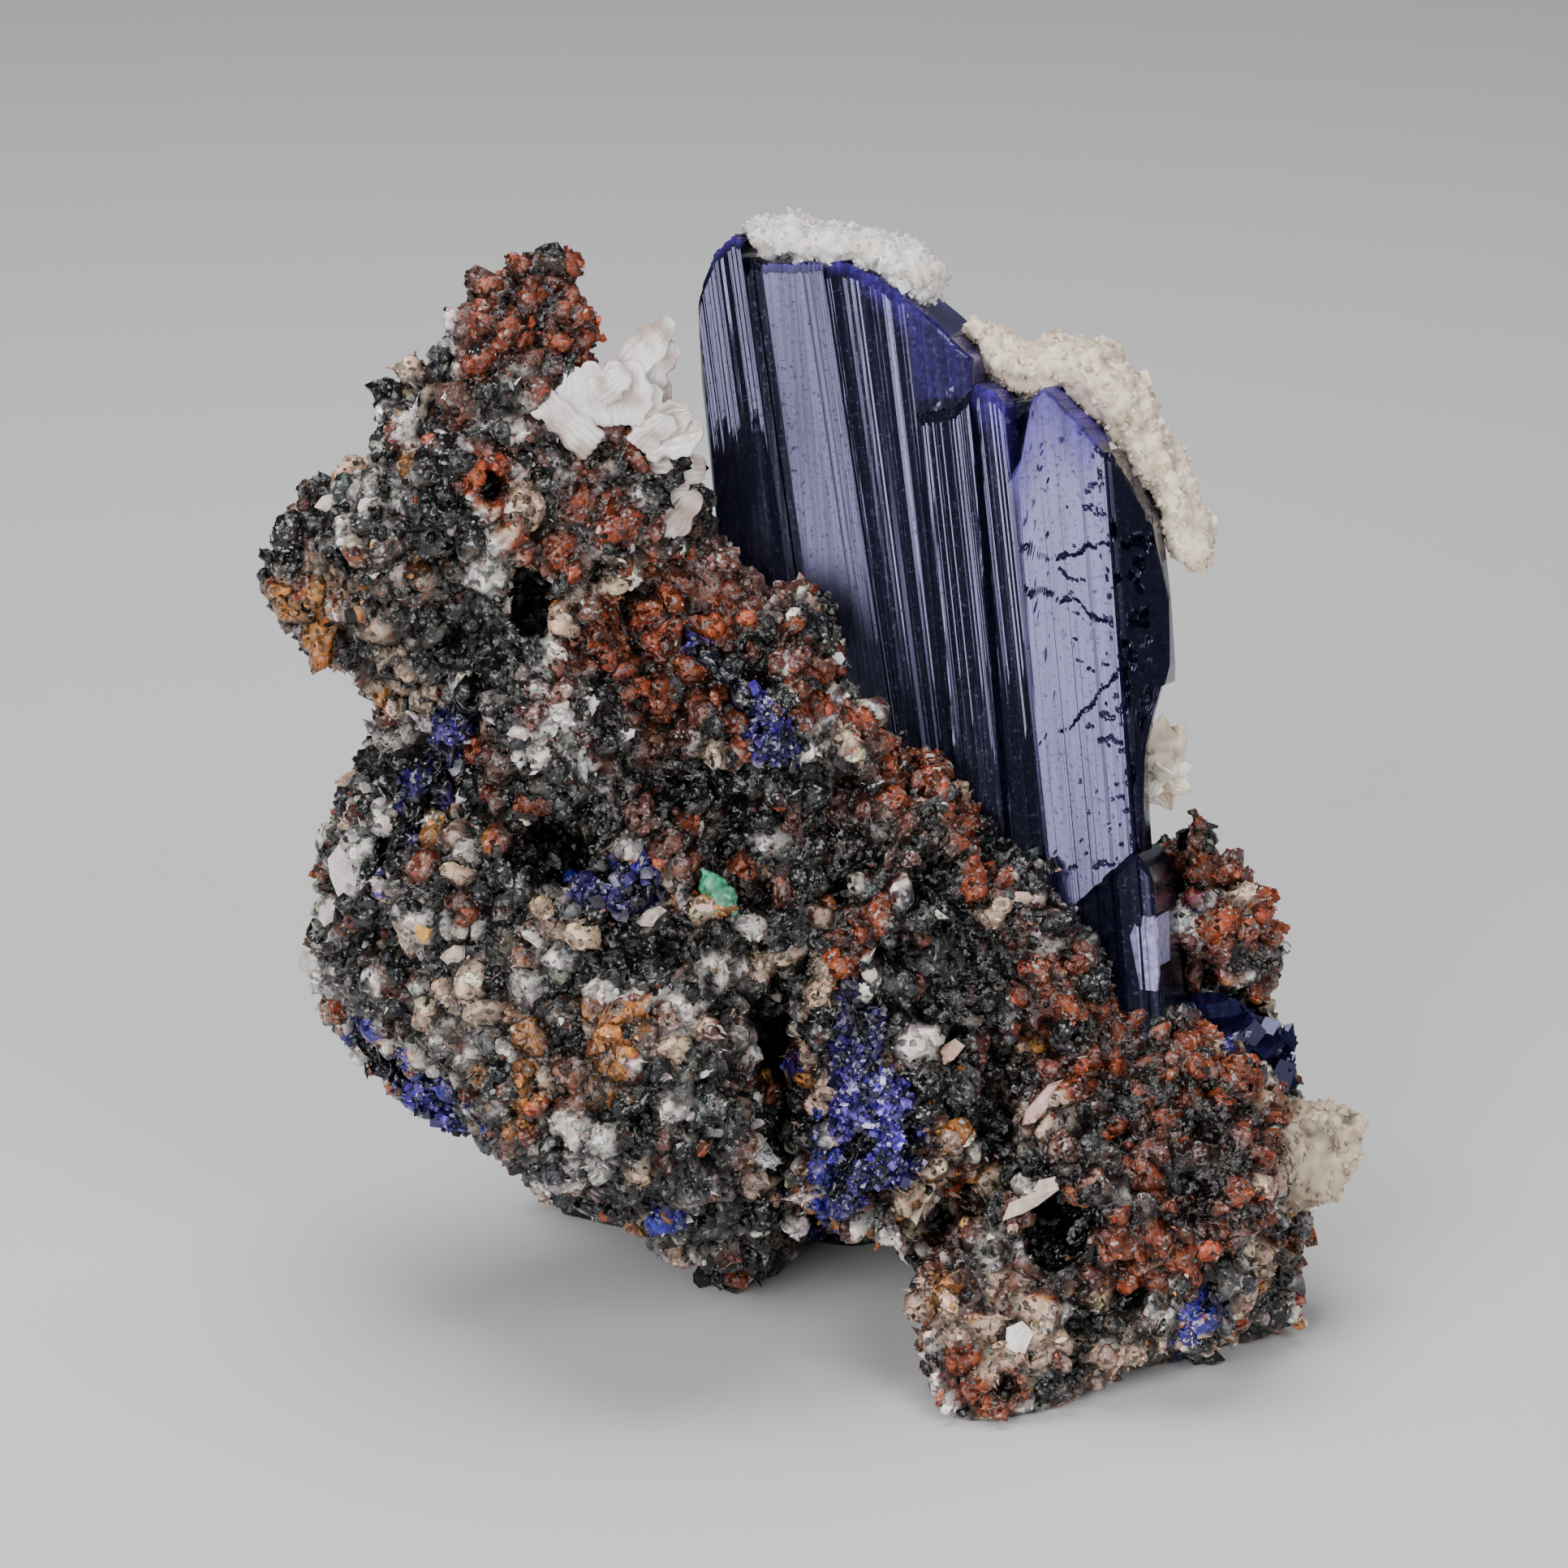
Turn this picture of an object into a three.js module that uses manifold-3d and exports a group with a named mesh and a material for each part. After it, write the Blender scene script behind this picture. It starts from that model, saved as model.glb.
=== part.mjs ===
// A small-cabinet azurite specimen: a striated, tabular azurite crystal group standing in a lumpy,
// iron-stained ore matrix, with white calcite on its edges and granular azurite in its seams.
// Millimetres, +Z up, the front towards -Y, the origin under the middle of the base.
import * as THREE from "three";
import { ConvexGeometry } from "three/addons/geometries/ConvexGeometry.js";
import { mergeVertices } from "three/addons/utils/BufferGeometryUtils.js";
import Module from "manifold-3d";

const wasm = await Module();
wasm.setup();

// Driving dimensions.
const GAP = 0.3; // clearance between pieces that touch
const ROCK_FILLET = 0.9; // how softly the rock's lumps run into each other
const CRUST_FILLET = 0.4;
const ROCK_RELIEF = { swell: 1.4, swellSpan: 7, chip: 0.9, chipSpan: 3.2 };
const CRUST_RELIEF = { swell: 0.5, swellSpan: 2.6, chip: 0.35, chipSpan: 1.3 };
const BREAKS = { count: 9, shallow: 0.96, deep: 0.76 }; // flat breaks on a lump, as shares of it
const CRUST_MESH = { sides: 8, step: 1.5 }; // faces around a crust, and their length
const SEAM_MESH = { sides: 7, step: 1.3 };
const CRUST_TAPER = 5; // how bluntly a crust ends
const HOLLOW_DETAIL = 1;
const TABLET_TAPER = 0.86; // a calcite tablet's back face, as a share of its front face
const PROBE = 0.5; // step of the walk from a boulder's core to its skin
const HALVINGS = 8; // how often the last step is halved
const FLOOR_REACH = 140; // size of the block that cuts the rock off flat at the floor
const MIDDLE = [1.2, 2.5, 0]; // middle of the base, in the coordinates that the tables use

// The crystal group's own axes: width w to its right, thickness t to its back, length a upwards.
const CRYSTAL_FOOT = [7.5, 6, 44.5]; // where w, t and a are zero
const CRYSTAL_ROLL = -9;
const CRYSTAL_LEAN = -14;
const CRYSTAL_YAW = -16;
const CRYSTAL_REACH = { down: -34, up: 34, front: -8, back: 16 };

const degrees = THREE.MathUtils.degToRad;
const vector = (values) => new THREE.Vector3(...values);

// A repeatable number from 0 to 1 for a lattice point.
function latticeValue(i, j, k) {
  let n = Math.imul(i, 374761393) ^ Math.imul(j, 668265263) ^ Math.imul(k, 1274126177);
  n = Math.imul(n ^ (n >>> 13), 1103515245);
  n ^= n >>> 16;
  return (n >>> 0) / 4294967295;
}

// Smooth noise from -1 to 1: lattice values blended through each cell of the given span.
function noise(point, span) {
  const cell = point.clone().divideScalar(span);
  const base = cell.clone().floor();
  const part = cell.sub(base);
  const ease = [part.x, part.y, part.z].map((t) => t * t * (3 - 2 * t));
  let sum = 0;
  for (const i of [0, 1])
    for (const j of [0, 1])
      for (const k of [0, 1]) {
        const weight =
          (i ? ease[0] : 1 - ease[0]) * (j ? ease[1] : 1 - ease[1]) * (k ? ease[2] : 1 - ease[2]);
        sum += weight * latticeValue(base.x + i, base.y + j, base.z + k);
      }
  return 2 * sum - 1;
}

// A three.js geometry as a manifold-3d solid.
function solidFrom(geometry) {
  const bare = new THREE.BufferGeometry();
  const loose = geometry.index ? geometry.toNonIndexed() : geometry;
  bare.setAttribute("position", loose.getAttribute("position"));
  const merged = mergeVertices(bare, 1e-4);
  const mesh = new wasm.Mesh({
    numProp: 3,
    vertProperties: merged.attributes.position.array,
    triVerts: new Uint32Array(merged.index.array),
  });
  return new wasm.Manifold(mesh);
}

// A manifold-3d solid as a three.js geometry.
function geometryFrom(solid) {
  const mesh = solid.getMesh();
  const geometry = new THREE.BufferGeometry();
  geometry.setAttribute("position", new THREE.BufferAttribute(mesh.vertProperties, 3));
  geometry.setIndex(new THREE.BufferAttribute(mesh.triVerts, 1));
  geometry.computeVertexNormals();
  return geometry;
}

const joined = (solids) => solids.reduce((all, one) => all.add(one));

// The largest of a solid's separate bodies, without the chips that a cut leaves.
function largest(solid) {
  return solid.decompose().reduce((best, one) => (one.volume() > best.volume() ? one : best));
}

// A solid and its clearance: its copies moved by the gap along each axis, joined.
function withGap(solid) {
  const moves = [-GAP, GAP].flatMap((d) => [[d, 0, 0], [0, d, 0], [0, 0, d]]);
  return joined(moves.map((move) => solid.translate(move)));
}

// The plain socket that a solid needs: the convex hull of the solid and its clearance.
function socket(solid) {
  const { vertProperties, numVert } = withGap(solid).getMesh();
  const corners = Array.from({ length: numVert }, (_, n) =>
    new THREE.Vector3().fromArray(vertProperties, 3 * n),
  );
  return solidFrom(new ConvexGeometry(corners));
}

// How far noise of two sizes lifts a skin at a point.
const rough = (point, { swell, swellSpan, chip, chipSpan }) =>
  swell * noise(point, swellSpan) + chip * noise(point, chipSpan);

// The flat breaks of a lump, as planes that cut into a unit sphere.
function breakPlanes(at) {
  const seed = Math.round(at[0] * 7 + at[1] * 13 + at[2] * 29);
  return Array.from({ length: BREAKS.count }, (_, n) => {
    const lean = 2 * latticeValue(seed, n, 1) - 1;
    const around = 2 * Math.PI * latticeValue(seed, n, 2);
    const flat = Math.sqrt(1 - lean * lean);
    const depth = THREE.MathUtils.lerp(BREAKS.deep, BREAKS.shallow, latticeValue(seed, n, 3));
    return { normal: new THREE.Vector3(flat * Math.cos(around), flat * Math.sin(around), lean), depth };
  });
}

// A lump as a function of a point: roughly the point's distance outside the lump's skin. at is
// the lump's middle, half its half sizes, and turn its lean in degrees about Y.
function lumpField({ at, half, turn = 0 }) {
  const toUnit = new THREE.Matrix4()
    .makeRotationY(degrees(turn))
    .setPosition(...at)
    .scale(vector(half))
    .invert();
  const mean = (half[0] + half[1] + half[2]) / 3;
  const planes = breakPlanes(at);
  const local = new THREE.Vector3();
  return (point) => {
    local.copy(point).applyMatrix4(toUnit);
    let depth = local.length() - 1;
    for (const plane of planes) depth = Math.max(depth, local.dot(plane.normal) - plane.depth);
    return depth * mean;
  };
}

// A boulder: an icosahedron's sphere whose points go out from its core to the skin of its lumps,
// which run softly into each other.
function boulder({ core, detail, lumps }, fillet, relief) {
  const fields = lumps.map(lumpField);
  const skin = (point) => {
    const near = fields.reduce((sum, field) => sum + Math.exp(-field(point) / fillet), 0);
    return -fillet * Math.log(near) - rough(point, relief);
  };
  const sphere = new THREE.IcosahedronGeometry(1, detail);
  sphere.deleteAttribute("normal");
  sphere.deleteAttribute("uv");
  const geometry = mergeVertices(sphere, 1e-4);
  const points = geometry.getAttribute("position");
  for (let n = 0; n < points.count; n++) {
    const way = new THREE.Vector3().fromBufferAttribute(points, n);
    const at = (reach) => way.clone().multiplyScalar(reach).add(vector(core));
    let inside = PROBE;
    while (skin(at(inside + PROBE)) < 0) inside += PROBE;
    let outside = inside + PROBE;
    for (let halving = 0; halving < HALVINGS; halving++) {
      const reach = (inside + outside) / 2;
      if (skin(at(reach)) < 0) inside = reach;
      else outside = reach;
    }
    points.setXYZ(n, ...at(inside));
  }
  return solidFrom(geometry);
}

// A crust: a sphere's rings strung along a curve through its beads, each bead with its middle
// and its half sizes across and through, roughened by noise.
function crust(beads, { sides, step }, relief) {
  const curve = new THREE.CatmullRomCurve3(beads.map(({ at }) => vector(at)));
  const sizes = new THREE.CatmullRomCurve3(beads.map(({ half }) => new THREE.Vector3(...half, 0)));
  const steps = Math.round(curve.getLength() / step);
  const geometry = new THREE.SphereGeometry(1, sides, steps);
  const points = geometry.getAttribute("position");
  for (let n = 0; n < points.count; n++) {
    const row = Math.floor(n / (sides + 1));
    const around = (2 * Math.PI * (n % (sides + 1))) / sides;
    const along = row / steps;
    const taper = Math.sqrt(Math.min(1, CRUST_TAPER * Math.sin(Math.PI * along)));
    const size = sizes.getPoint(along);
    const middle = curve.getPoint(along);
    const through = new THREE.Vector3(0, 1, 0);
    const across = curve.getTangent(along).cross(through).normalize();
    const point = middle
      .clone()
      .addScaledVector(across, taper * size.x * Math.cos(around))
      .addScaledVector(through, taper * size.y * Math.sin(around));
    const outward = point.clone().sub(middle).normalize();
    point.addScaledVector(outward, taper * rough(point, relief));
    points.setXYZ(n, point.x, point.y, point.z);
  }
  return solidFrom(geometry);
}

// The rock's boulders, each with its core and its lumps.
const BOULDERS = [
  {
    // the swollen left half, its rim, the rounded boulder at its front and the chin below it
    core: [-14, -1, 27],
    detail: 6,
    lumps: [
      { at: [-13.5, 1, 30], half: [15.5, 17.5, 17] },
      { at: [-24.5, 3, 38.5], half: [5, 8, 9.5] },
      { at: [-27.5, 3, 26.5], half: [5.5, 9, 11] },
      { at: [-23, 1, 19.5], half: [6.8, 9, 6], turn: 35 },
      { at: [-11.5, -8, 19], half: [11, 12, 9], turn: 20 },
      { at: [-16, -2, 13.5], half: [6, 9, 4.5], turn: 20 },
      { at: [-6.5, -4, 11], half: [6.4, 9, 7] },
      { at: [-16.5, -2, 45], half: [9.5, 10, 7] },
    ],
  },
  {
    // the shoulder, the arm to the left, and the peak
    core: [-20.5, -2, 54],
    detail: 5,
    lumps: [
      { at: [-20.5, -1, 52.5], half: [9, 9.5, 9.4] },
      { at: [-27, -1, 50], half: [5, 6, 6.5] },
      { at: [-30.4, -1, 52], half: [5, 5.4, 5.6] },
      { at: [-20.5, -3, 60.5], half: [7, 7, 7.2] },
      { at: [-12.5, -3, 57.5], half: [6, 5.4, 7.4] },
    ],
  },
  {
    core: [-17.5, -4, 67],
    detail: 2,
    lumps: [
      { at: [-18, -4, 65.5], half: [5.4, 5.4, 6.5] },
      { at: [-16.5, -4, 71.8], half: [3.4, 3.4, 3.4] },
    ],
  },
  {
    // the slope that falls to the right, and its crest
    core: [-3, -2, 40],
    detail: 4,
    lumps: [
      { at: [-5, -2, 41.5], half: [8.4, 9, 10], turn: 40 },
      { at: [-8.5, -3, 51], half: [3.8, 4, 5.2] },
      { at: [-3, -3, 45.5], half: [4, 4.5, 4.8] },
      { at: [1.5, -3, 40.5], half: [4.3, 4.5, 4.8] },
      { at: [-2, -1, 32], half: [10, 11, 10], turn: 35 },
    ],
  },
  {
    core: [6, -3, 27],
    detail: 4,
    lumps: [
      { at: [2, -3, 30], half: [10, 11, 10], turn: 35 },
      { at: [7.5, -3, 35.2], half: [4.8, 5, 4.6] },
      { at: [12, -3.5, 29.5], half: [4.2, 5, 5] },
      { at: [14.5, -4, 24.5], half: [6, 5.5, 5] },
      { at: [6.5, -3, 18], half: [8, 10.5, 11.5] },
      { at: [4.5, -9, 12.5], half: [4.6, 4.8, 5.8] },
    ],
  },
  {
    // the right half, down to its foot
    core: [20, -4, 10],
    detail: 6,
    lumps: [
      { at: [22, -4, 13.5], half: [11, 13.5, 8.4] },
      { at: [19, -4, 20], half: [6, 6, 4.6] },
      { at: [18, -6, 6], half: [11.5, 13.5, 9.4] },
      { at: [11, -14, 3.5], half: [3.8, 6, 7.4], turn: -10 },
      { at: [28.5, -1, 8], half: [4.6, 8, 7.5] },
      { at: [27, -5, 3], half: [5, 7, 5] },
      { at: [16, 0, 0], half: [10, 12, 6] },
    ],
  },
  {
    // the rock to the right of the crystals' root
    core: [26, 6, 21],
    detail: 3,
    lumps: [
      { at: [25.5, 6, 22.5], half: [4.6, 6.5, 9.4] },
      { at: [28.5, 5, 24], half: [3.2, 4.4, 4.6] },
      { at: [29, 3, 15], half: [4.4, 6, 5] },
    ],
  },
  {
    core: [24.6, 4, 31],
    detail: 2,
    lumps: [{ at: [24.6, 4, 31], half: [2.6, 3.4, 5.4] }],
  },
  {
    // the back, and its feet
    core: [-6, 11, 22],
    detail: 4,
    lumps: [
      { at: [-2, 11, 22], half: [19.5, 11, 17] },
      { at: [-14, 10, 32], half: [13.5, 9.4, 14.4] },
      { at: [-11, 15, 6], half: [8.5, 6, 9.5] },
      { at: [2, 14, 5], half: [11, 7.5, 8] },
    ],
  },
  {
    core: [14, 11, 10],
    detail: 3,
    lumps: [{ at: [15, 11, 9], half: [13, 10.5, 12] }],
  },
  {
    core: [-4.3, 3, 4],
    detail: 1,
    lumps: [{ at: [-4.3, 3, 3], half: [3.6, 6, 6] }],
  },
];

// The open hollows in the rock's front: the dark pocket, two vugs, and the groove down the right
// side of the rounded boulder.
const HOLLOWS = [
  { at: [-15.2, -13, 37], half: [3.4, 4, 2.2] },
  { at: [-17.2, -10.5, 53], half: [1.8, 3, 2.6] },
  { at: [16, -17, 12.3], half: [2.4, 4, 2.8] },
  { at: [-1.6, -11.5, 24.5], half: [1.6, 4, 5.5], turn: -20 },
];

// The crystal group's blades. A blade is what its section, in w and t, swept along its length,
// shares with its outline, in w and a, swept through its thickness.
const BLADES = [
  {
    // the tall left blade, whose broad face has a dark step down its left third
    section: [
      [-13.5, 1.8], [-12.9, -0.4], [-9.2, -0.7], [-8.7, 0.2], [-7.6, 0.2], [-7.2, -1], [-2.8, -1.2],
      [-2.6, 10.4], [-4.6, 9.4], [-11.2, 9.2], [-13.3, 6.5],
    ],
    outline: [
      [-12, -10], [-12.6, 5.5], [-13.1, 10.7], [-13.5, 18], [-13.1, 23.7], [-12.4, 25.5],
      [-11.6, 27.2], [-10.1, 28.4], [-8.1, 26.8], [-4, 26], [-2, 25.5], [-1, -14],
    ],
  },
  {
    // the finely striated blade beside it, which falls away to the right
    section: [[-3.2, -0.5], [1.2, -0.3], [5.2, -0.1], [5.6, 8.8], [-3.2, 10]],
    outline: [[-4, -14], [-3.6, 25.9], [-2.9, 26], [0.4, 24.1], [5.2, 19], [5, 15.8], [7, -16]],
  },
  {
    // the lower middle blade
    section: [[2.4, 1.2], [2.7, -0.6], [5.4, -0.9], [5.7, -0.4], [8.4, -0.6], [8.6, 9.6], [2.4, 9.6]],
    outline: [[0, -18], [1.3, 15.4], [4.1, 15.8], [5.6, 17.2], [7.5, 16.1], [8.5, 14.2], [9.2, 11], [9.2, -20]],
  },
  {
    // the bright right blade, with its bevelled side
    section: [[7.9, 0], [8.2, -1.3], [13.7, -1.6], [14.3, -1], [16.9, 4], [16, 8.4], [9, 9], [7.9, 8]],
    outline: [
      [7, -28], [7.6, 11], [8.6, 11.8], [9.4, 16], [10.3, 16.7], [12.8, 13.8], [14.4, 11.9],
      [16.2, 7.5], [16.8, 2], [16.6, -2.2], [14.8, -6], [14.4, -12], [14.2, -30],
    ],
  },
  {
    // the short dark crystal in front of the right blade's foot
    section: [[8.4, 2], [9.2, -2], [13, -3], [15.6, -2], [16.2, 3], [9, 5]],
    outline: [[8, -29], [8.8, -19.5], [13.9, -14.6], [15.2, -16.5], [15.8, -22], [14.6, -29]],
  },
];

// The break below the striated blade's violet corner, as low and high corners in w, t and a.
const NOTCH = { low: [0.6, -3, 15.2], high: [4.8, 1.4, 17] };

// White crust along the tall blades' top, and cream crust down the right blade's side: beads of
// growth, each by its middle in w, t and a, and its half sizes across and through.
const TOP_CRUST = [
  { at: [-10.3, 3, 28.6], half: [0.4, 1.6] },
  { at: [-9, 3, 28.3], half: [1, 3] },
  { at: [-7.4, 3, 27.7], half: [1.5, 3.8] },
  { at: [-5, 3.2, 27], half: [1.4, 4] },
  { at: [-2.6, 3.4, 26.6], half: [1.3, 4] },
  { at: [-0.4, 3.2, 25.7], half: [1.4, 3.6] },
  { at: [1.6, 3, 24.5], half: [1.4, 3] },
  { at: [2.9, 3, 23.1], half: [0.6, 2] },
];
const SIDE_CRUST = [
  { at: [4.4, 5, 21.3], half: [0.5, 0.8] },
  { at: [5.2, 5, 19.8], half: [0.9, 1.6] },
  { at: [6.4, 5, 18.2], half: [1.3, 2.2] },
  { at: [8, 5, 17.6], half: [1.5, 2.8] },
  { at: [9.8, 5, 17.9], half: [2, 3.2] },
  { at: [11.8, 5, 17.3], half: [2.4, 3.2] },
  { at: [13.7, 5, 15.2], half: [2, 3] },
  { at: [15, 5.4, 12.8], half: [1.5, 2.6] },
  { at: [16.1, 5.6, 10.4], half: [1.4, 2.4] },
  { at: [17, 5.6, 8], half: [1.2, 2] },
  { at: [17.9, 5.4, 5.8], half: [1.4, 1.6] },
  { at: [18.2, 5.2, 3.6], half: [0.7, 1] },
];

// Calcite plates on the peak: six-sided tablets, each by its middle, its half width, half height
// and half thickness, and its turns about X, Y and Z.
const PEAK_PLATES = [
  { at: [-12.2, -6.5, 65.6], half: [3.4, 3.2, 0.7], turns: [78, 10, -12] },
  { at: [-10.6, -5.5, 64.4], half: [3, 3.4, 0.7], turns: [62, 38, 20] },
  { at: [-14.2, -7, 64.6], half: [2.6, 1.5, 0.8], turns: [80, -20, 30] },
  { at: [-9.2, -5.5, 68.6], half: [1.5, 2.6, 0.5], turns: [84, 30, -30] },
  { at: [-8.6, -5, 62.8], half: [2.4, 2.8, 0.7], turns: [70, 50, 10] },
  { at: [-7.8, -5, 60.6], half: [2.1, 2.6, 0.8], turns: [75, 15, -35] },
  { at: [-8.6, -5.5, 58.4], half: [1.6, 2.4, 0.7], turns: [80, 40, 20] },
];
const ROSETTE_PLATES = [
  { at: [24.4, 3.2, 37], half: [2, 2.8, 0.7], turns: [80, 20, -20] },
  { at: [23.8, 3.6, 38.2], half: [1.3, 2.4, 0.7], turns: [84, -10, 25] },
  { at: [25.4, 3.4, 36], half: [1.8, 2, 0.7], turns: [60, 45, 30] },
  { at: [24.6, 3.8, 35.6], half: [1.7, 2.1, 0.9], turns: [85, 70, 0] },
  { at: [25, 3.6, 34.6], half: [1.3, 1.8, 0.8], turns: [75, 0, 60] },
];

// The cream knob on the rock's right tip.
const KNOB = {
  core: [33, -2, 11.4],
  detail: 3,
  lumps: [
    { at: [32.3, -2, 11.4], half: [3, 3.2, 3.4] },
    { at: [34.6, -2, 12.8], half: [2, 2, 1.8] },
    { at: [36, -2, 13.6], half: [1.1, 1.1, 0.9] },
    { at: [33.6, -2.4, 9.8], half: [2, 2, 1.8] },
  ],
};

// Azurite grown in the rock's seams and a dab of malachite, as ribbons of beads that lie half
// sunk in the rock's front, each bead with its middle and its half sizes across and through.
const SEAMS = {
  azurite_front_druse: [
    { at: [2.8, -13, 28.6], half: [0.6, 0.7] },
    { at: [3.4, -12.6, 25.5], half: [1.3, 1.3] },
    { at: [3.4, -12.2, 22.5], half: [1.4, 1.4] },
    { at: [4.8, -12.2, 19.6], half: [2.8, 1.6] },
    { at: [4.8, -12.8, 17], half: [3.2, 1.6] },
    { at: [3, -13.2, 14.6], half: [1.8, 1.5] },
    { at: [2, -12.8, 12], half: [0.8, 1.1] },
  ],
  azurite_ridge_vein: [
    { at: [-7.3, -7.2, 50.4], half: [0.4, 0.7] },
    { at: [-5.8, -7.8, 48.6], half: [0.9, 1] },
    { at: [-3.2, -9.4, 45.5], half: [1, 1.1] },
    { at: [-0.8, -10.3, 42.2], half: [0.7, 0.9] },
  ],
  azurite_left_vein: [
    { at: [-20.8, -9.6, 47.2], half: [0.4, 0.7] },
    { at: [-22.4, -8, 43.8], half: [1, 1.3] },
    { at: [-24, -6.2, 39.6], half: [1.3, 1.3] },
    { at: [-26.3, -6.8, 35.6], half: [0.8, 1.1] },
    { at: [-29, -5, 29.2], half: [0.5, 0.8] },
  ],
  azurite_lower_vein: [
    { at: [-29.9, -3, 22], half: [0.5, 0.8] },
    { at: [-28, -3.8, 19.6], half: [1, 1.1] },
    { at: [-25.2, -4.5, 16.9], half: [1.1, 1.2] },
    { at: [-22, -3.6, 13.9], half: [0.7, 0.9] },
  ],
  azurite_pocket_druse: [
    { at: [-15.2, -12.2, 34.2], half: [0.8, 1] },
    { at: [-13, -12.4, 34.7], half: [1.5, 1.4] },
    { at: [-10.8, -12.8, 34.7], half: [1.5, 1.4] },
    { at: [-8.8, -13.1, 34.4], half: [0.8, 1] },
  ],
  malachite_patch: [
    { at: [-6.6, -12.2, 35.9], half: [0.5, 0.6] },
    { at: [-5.7, -12.6, 34.4], half: [0.9, 0.8] },
    { at: [-4.2, -13, 33], half: [0.5, 0.6] },
  ],
};

const SEAM_COLOURS = { azurite: 0x2a2a9c, malachite: 0x3fa57c };

// The dark azurite crystals on the right, as blocks, each by its middle, half sizes and turns.
const CLUSTER_BLOCKS = [
  { at: [26.9, -0.4, 20.6], half: [1.9, 2, 1.7], turns: [20, 35, 10] },
  { at: [29, 0.2, 19.8], half: [2.2, 2.2, 1.6], turns: [-30, 10, 40] },
  { at: [30.4, -1.8, 18.2], half: [1.8, 2, 1.8], turns: [45, 20, 15] },
  { at: [28, -3, 19.2], half: [1.7, 1.6, 1.5], turns: [10, -40, 30] },
  { at: [31.2, 0.2, 16.6], half: [1.4, 1.8, 1.7], turns: [25, 60, 0] },
];

// A blade's section swept along its length, and its outline swept through its thickness.
function blade({ section, outline }) {
  const shapeOf = (points) => new THREE.Shape(points.map(([x, y]) => new THREE.Vector2(x, y)));
  const { down, up, front, back } = CRYSTAL_REACH;
  const column = new THREE.ExtrudeGeometry(shapeOf(section), { depth: up - down, bevelEnabled: false });
  column.translate(0, 0, down);
  const slab = new THREE.ExtrudeGeometry(shapeOf(outline), { depth: back - front, bevelEnabled: false });
  slab.rotateX(Math.PI / 2).translate(0, back, 0);
  return solidFrom(column).intersect(solidFrom(slab));
}

// A block by its low and high corners.
function block({ low, high }) {
  const size = high.map((value, axis) => value - low[axis]);
  const middle = high.map((value, axis) => (value + low[axis]) / 2);
  return solidFrom(new THREE.BoxGeometry(...size).translate(...middle));
}

// A six-sided tablet.
function tablet({ at, half, turns }) {
  const geometry = new THREE.CylinderGeometry(1, TABLET_TAPER, 2, 6).rotateX(Math.PI / 2);
  const spin = new THREE.Euler(...turns.map(degrees));
  const seat = new THREE.Matrix4().makeRotationFromEuler(spin).setPosition(...at).scale(vector(half));
  return solidFrom(geometry.applyMatrix4(seat));
}

// A turned block crystal.
function crystalBlock({ at, half, turns }) {
  const spin = new THREE.Euler(...turns.map(degrees));
  const seat = new THREE.Matrix4().makeRotationFromEuler(spin).setPosition(...at).scale(vector(half));
  return solidFrom(new THREE.BoxGeometry(2, 2, 2).applyMatrix4(seat));
}

// Moves a solid from the crystal group's own axes to the specimen's.
const crystalTurn = new THREE.Matrix4()
  .makeRotationZ(degrees(CRYSTAL_YAW))
  .multiply(new THREE.Matrix4().makeRotationX(degrees(CRYSTAL_LEAN)))
  .multiply(new THREE.Matrix4().makeRotationY(degrees(CRYSTAL_ROLL)))
  .setPosition(...CRYSTAL_FOOT);
const onCrystal = (solid) => solid.transform(crystalTurn.elements);

const blades = BLADES.map((one) => onCrystal(blade(one)));
const crystal = largest(joined(blades).subtract(onCrystal(block(NOTCH))));
const crystalSockets = [socket(joined(blades.slice(0, -1))), socket(blades.at(-1))];
const topCrust = largest(onCrystal(crust(TOP_CRUST, CRUST_MESH, CRUST_RELIEF)).subtract(withGap(crystal)));
const sideCrust = largest(onCrystal(crust(SIDE_CRUST, CRUST_MESH, CRUST_RELIEF)).subtract(withGap(crystal)));
const plates = largest(joined(PEAK_PLATES.map(tablet)));
const rosette = largest(joined(ROSETTE_PLATES.map(tablet)).subtract(withGap(crystal)));
const knob = boulder(KNOB, CRUST_FILLET, CRUST_RELIEF);
const cluster = largest(joined(CLUSTER_BLOCKS.map(crystalBlock)).subtract(withGap(crystal)));
const seams = Object.entries(SEAMS).map(([name, beads]) => [name, crust(beads, SEAM_MESH, CRUST_RELIEF)]);

// The rock: its boulders, less its hollows, its sockets and what is below the floor.
function rockSolid(rockSockets) {
  const below = block({
    low: [-FLOOR_REACH / 2, -FLOOR_REACH / 2, -FLOOR_REACH],
    high: [FLOOR_REACH / 2, FLOOR_REACH / 2, 0],
  });
  const heap = joined(BOULDERS.map((one) => boulder(one, ROCK_FILLET, ROCK_RELIEF)));
  const hollows = HOLLOWS.map((one) =>
    boulder({ core: one.at, detail: HOLLOW_DETAIL, lumps: [one] }, ROCK_FILLET, CRUST_RELIEF),
  );
  return largest(heap.subtract(joined([below, ...hollows, ...rockSockets])));
}

const rock = rockSolid([
  ...crystalSockets,
  ...[...PEAK_PLATES, ...ROSETTE_PLATES].map((one) => socket(tablet(one))),
  ...[knob, cluster, ...seams.map(([, solid]) => solid)].map(socket),
]);

const specimen = new THREE.Group();
specimen.position.set(...MIDDLE.map((value) => -value));

// Adds a solid to the specimen as one named mesh.
function addPiece(name, solid, color, roughness) {
  const material = new THREE.MeshStandardMaterial({ color, roughness, metalness: 0 });
  const mesh = new THREE.Mesh(geometryFrom(solid), material);
  mesh.name = name;
  specimen.add(mesh);
}

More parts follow.
